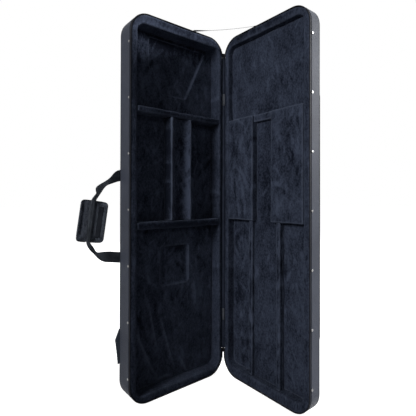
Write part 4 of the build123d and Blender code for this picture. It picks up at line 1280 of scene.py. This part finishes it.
soft_pad("strap_yoke_pad", "strap_yoke", pad_cloth, "base", "pad_cloth", block=(0.0025, 1),
         filling=(2.0, 0.0008), rests=(1, panel_face), last=(0.4, 0.0003, 51))
yoke_low, yoke_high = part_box("strap_yoke")
yoke_middle = (yoke_low + yoke_high) / 2
yoke_middle.y = yoke_high.y + 0.0006
yoke_size = yoke_high - yoke_low
yoke_seam = round_loop(yoke_middle, x_axis, z_axis, yoke_size.x - yoke_seam_inset,
                       yoke_size.z - yoke_seam_inset, 0.008, stitch_pitch)
stitch_row("yoke_stitches", yoke_seam, y_axis, "base")

for number, (label, side) in enumerate((("outer", -1), ("spine", 1))):
    strap = f"strap_{label}_"
    head = Vector((side * strap_spread_top, 0, strap_head_up))
    tip = Vector((side * strap_spread_foot, 0, strap_head_up - strap_long))
    along = (tip - head).normalized()
    across = y_axis.cross(along)
    middle = (head + tip) / 2
    run = (tip - head).length
    pad_low, pad_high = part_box(strap + "pad")
    soft_pad(strap + "padding", strap + "pad", pad_cloth, "base", "pad_cloth", block=(0.004, 2),
             filling=(4.0, 0.003), rests=(1, pad_low.y), last=(0.7, 0.0006, 61 + number))
    edge = round_loop(Vector((middle.x, pad_low.y + 0.003, middle.z)), across, along,
                      strap_wide + 0.001, run + 0.001, strap_wide / 3, 0.008)
    round_tube(strap + "binding", edge, strap_bind_round, binding_cloth, "base", "pad_cloth", True)
    seam = round_loop(Vector((middle.x, pad_high.y + 0.0012, middle.z)), across, along,
                      strap_wide - strap_seam_inset, run - strap_seam_inset,
                      strap_wide / 3 - strap_seam_inset / 2, stitch_pitch)
    stitch_row(strap + "stitches", seam, y_axis, "base")

    start = sum(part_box(strap + "buckle"), Vector()) / 2
    edge_x = base_low.x if side < 0 else base_high.x
    foot = Vector((edge_x - side * strap_foot_in, 0, strap_foot_up))
    start.y = foot.y = panel_face + strap_web_thick / 2
    over = y_axis.cross((foot - start).normalized())
    rows = []
    for share in (step / 39 for step in range(40)):
        centre = start.lerp(foot, share) + y_axis * (0.0016 * math.sin(share * math.pi) ** 2)
        rows.append([centre + over * strap_web_half * (k / 3 - 1) for k in range(7)])
    lower_web = strap_along(strap + "web", rows, strap_web_thick)
    finish_piece(lower_web, webbing, "base", "webbing", strap + "webbing")
    cover(buckle_plastic, strap + "buckle")
    soft_pad(strap + "wing", strap + "anchor", anchor_cloth, "base", "pad_cloth",
             block=(0.0015, 2), filling=(3.0, 0.001), rests=(1, panel_face),
             last=(0.4, 0.0003, 81 + number))


# Lid pocket. A flat cloth pocket with a soft filling on the outside of the lid, piped round
# its edge and closed by a zip along its outer side.
pocket_corner, piping_round, zip_margin = 0.022, 0.0018, 0.02
pocket_low, pocket_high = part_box("lid_pocket")
zip_low, zip_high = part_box("pocket_zip_tape")
zip_middle = (zip_low.y + zip_high.y) / 2


def sink_zip(points):
    """Holds the pocket's cloth down under its zip."""
    under_zip = np.abs(points[:, 1] - zip_middle) < zip_margin
    points[under_zip, 0] = np.minimum(points[under_zip, 0], zip_low.x - 0.0012)


soft_pad("lid_pocket_bag", "lid_pocket", shell_cloth, "lid", "panel_cloth", block=(0.006, 3),
         filling=(4.0, 0.005), rests=(0, pocket_low.x), last=(0.5, 0.001, 71), press=sink_zip)
pocket_middle, pocket_size = (pocket_low + pocket_high) / 2, pocket_high - pocket_low
for label, depth, grow in (("base", pocket_low.x + 0.0016, 0.004),
                           ("top", pocket_high.x - 0.002, -0.004)):
    ring = round_loop(Vector((depth, pocket_middle.y, pocket_middle.z)), y_axis, z_axis,
                      pocket_size.y + grow, pocket_size.z + grow, pocket_corner, 0.01)
    round_tube(f"pocket_piping_{label}", ring, piping_round, piping_cloth, "lid", "piping_cord",
               True)
cover(zip_tape_cloth, "pocket_zip_tape")
chain_line = [Vector((zip_high.x + 0.0002, zip_middle, z))
              for z in np.arange(zip_low.z + 0.004, zip_high.z - 0.004, tooth_pitch)]
pocket_chain = copies("pocket_zip_coil", tooth, [oriented(at, z_axis, x_axis) for at in chain_line])
finish_piece(pocket_chain, coil_nylon, "lid", "zip_coil")
for label, y in (("outer", zip_low.y + 0.003), ("inner", zip_high.y - 0.003)):
    line = [Vector((zip_high.x, y, z)) for z in np.arange(zip_low.z + 0.003, zip_high.z, stitch_pitch)]
    stitch_row(f"pocket_zip_stitches_{label}", line, x_axis, "lid")


# Zip sliders and pulls. Cast metal sliders in black lacquer, worn at the corners. Each main
# slider has a pull bent from wire, and the pocket's has a stamped one.
slider_dark, slider_light = (0.006, 0.006, 0.007), (0.03, 0.03, 0.033)
wire_round, pull_wide, pull_corner = 0.0006, 0.007, 0.0024
slider_metal = woven_finish("slider_lacquer", slider_dark, slider_light, 200, 0.00003, 0.5)
cover(slider_metal, "main_slider_upper", "main_slider_lower", "pocket_slider", "pocket_pull")
for node in ("main_pull_upper", "main_pull_lower"):
    low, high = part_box(node)
    ring = round_loop((low + high) / 2, Vector((-1, 1, 0)).normalized(), z_axis,
                      pull_wide - 2 * wire_round, high.z - low.z - 2 * wire_round, pull_corner,
                      0.004)
    round_tube(node + "_wire", ring, wire_round, slider_metal, node, "slider_metal", True, node)
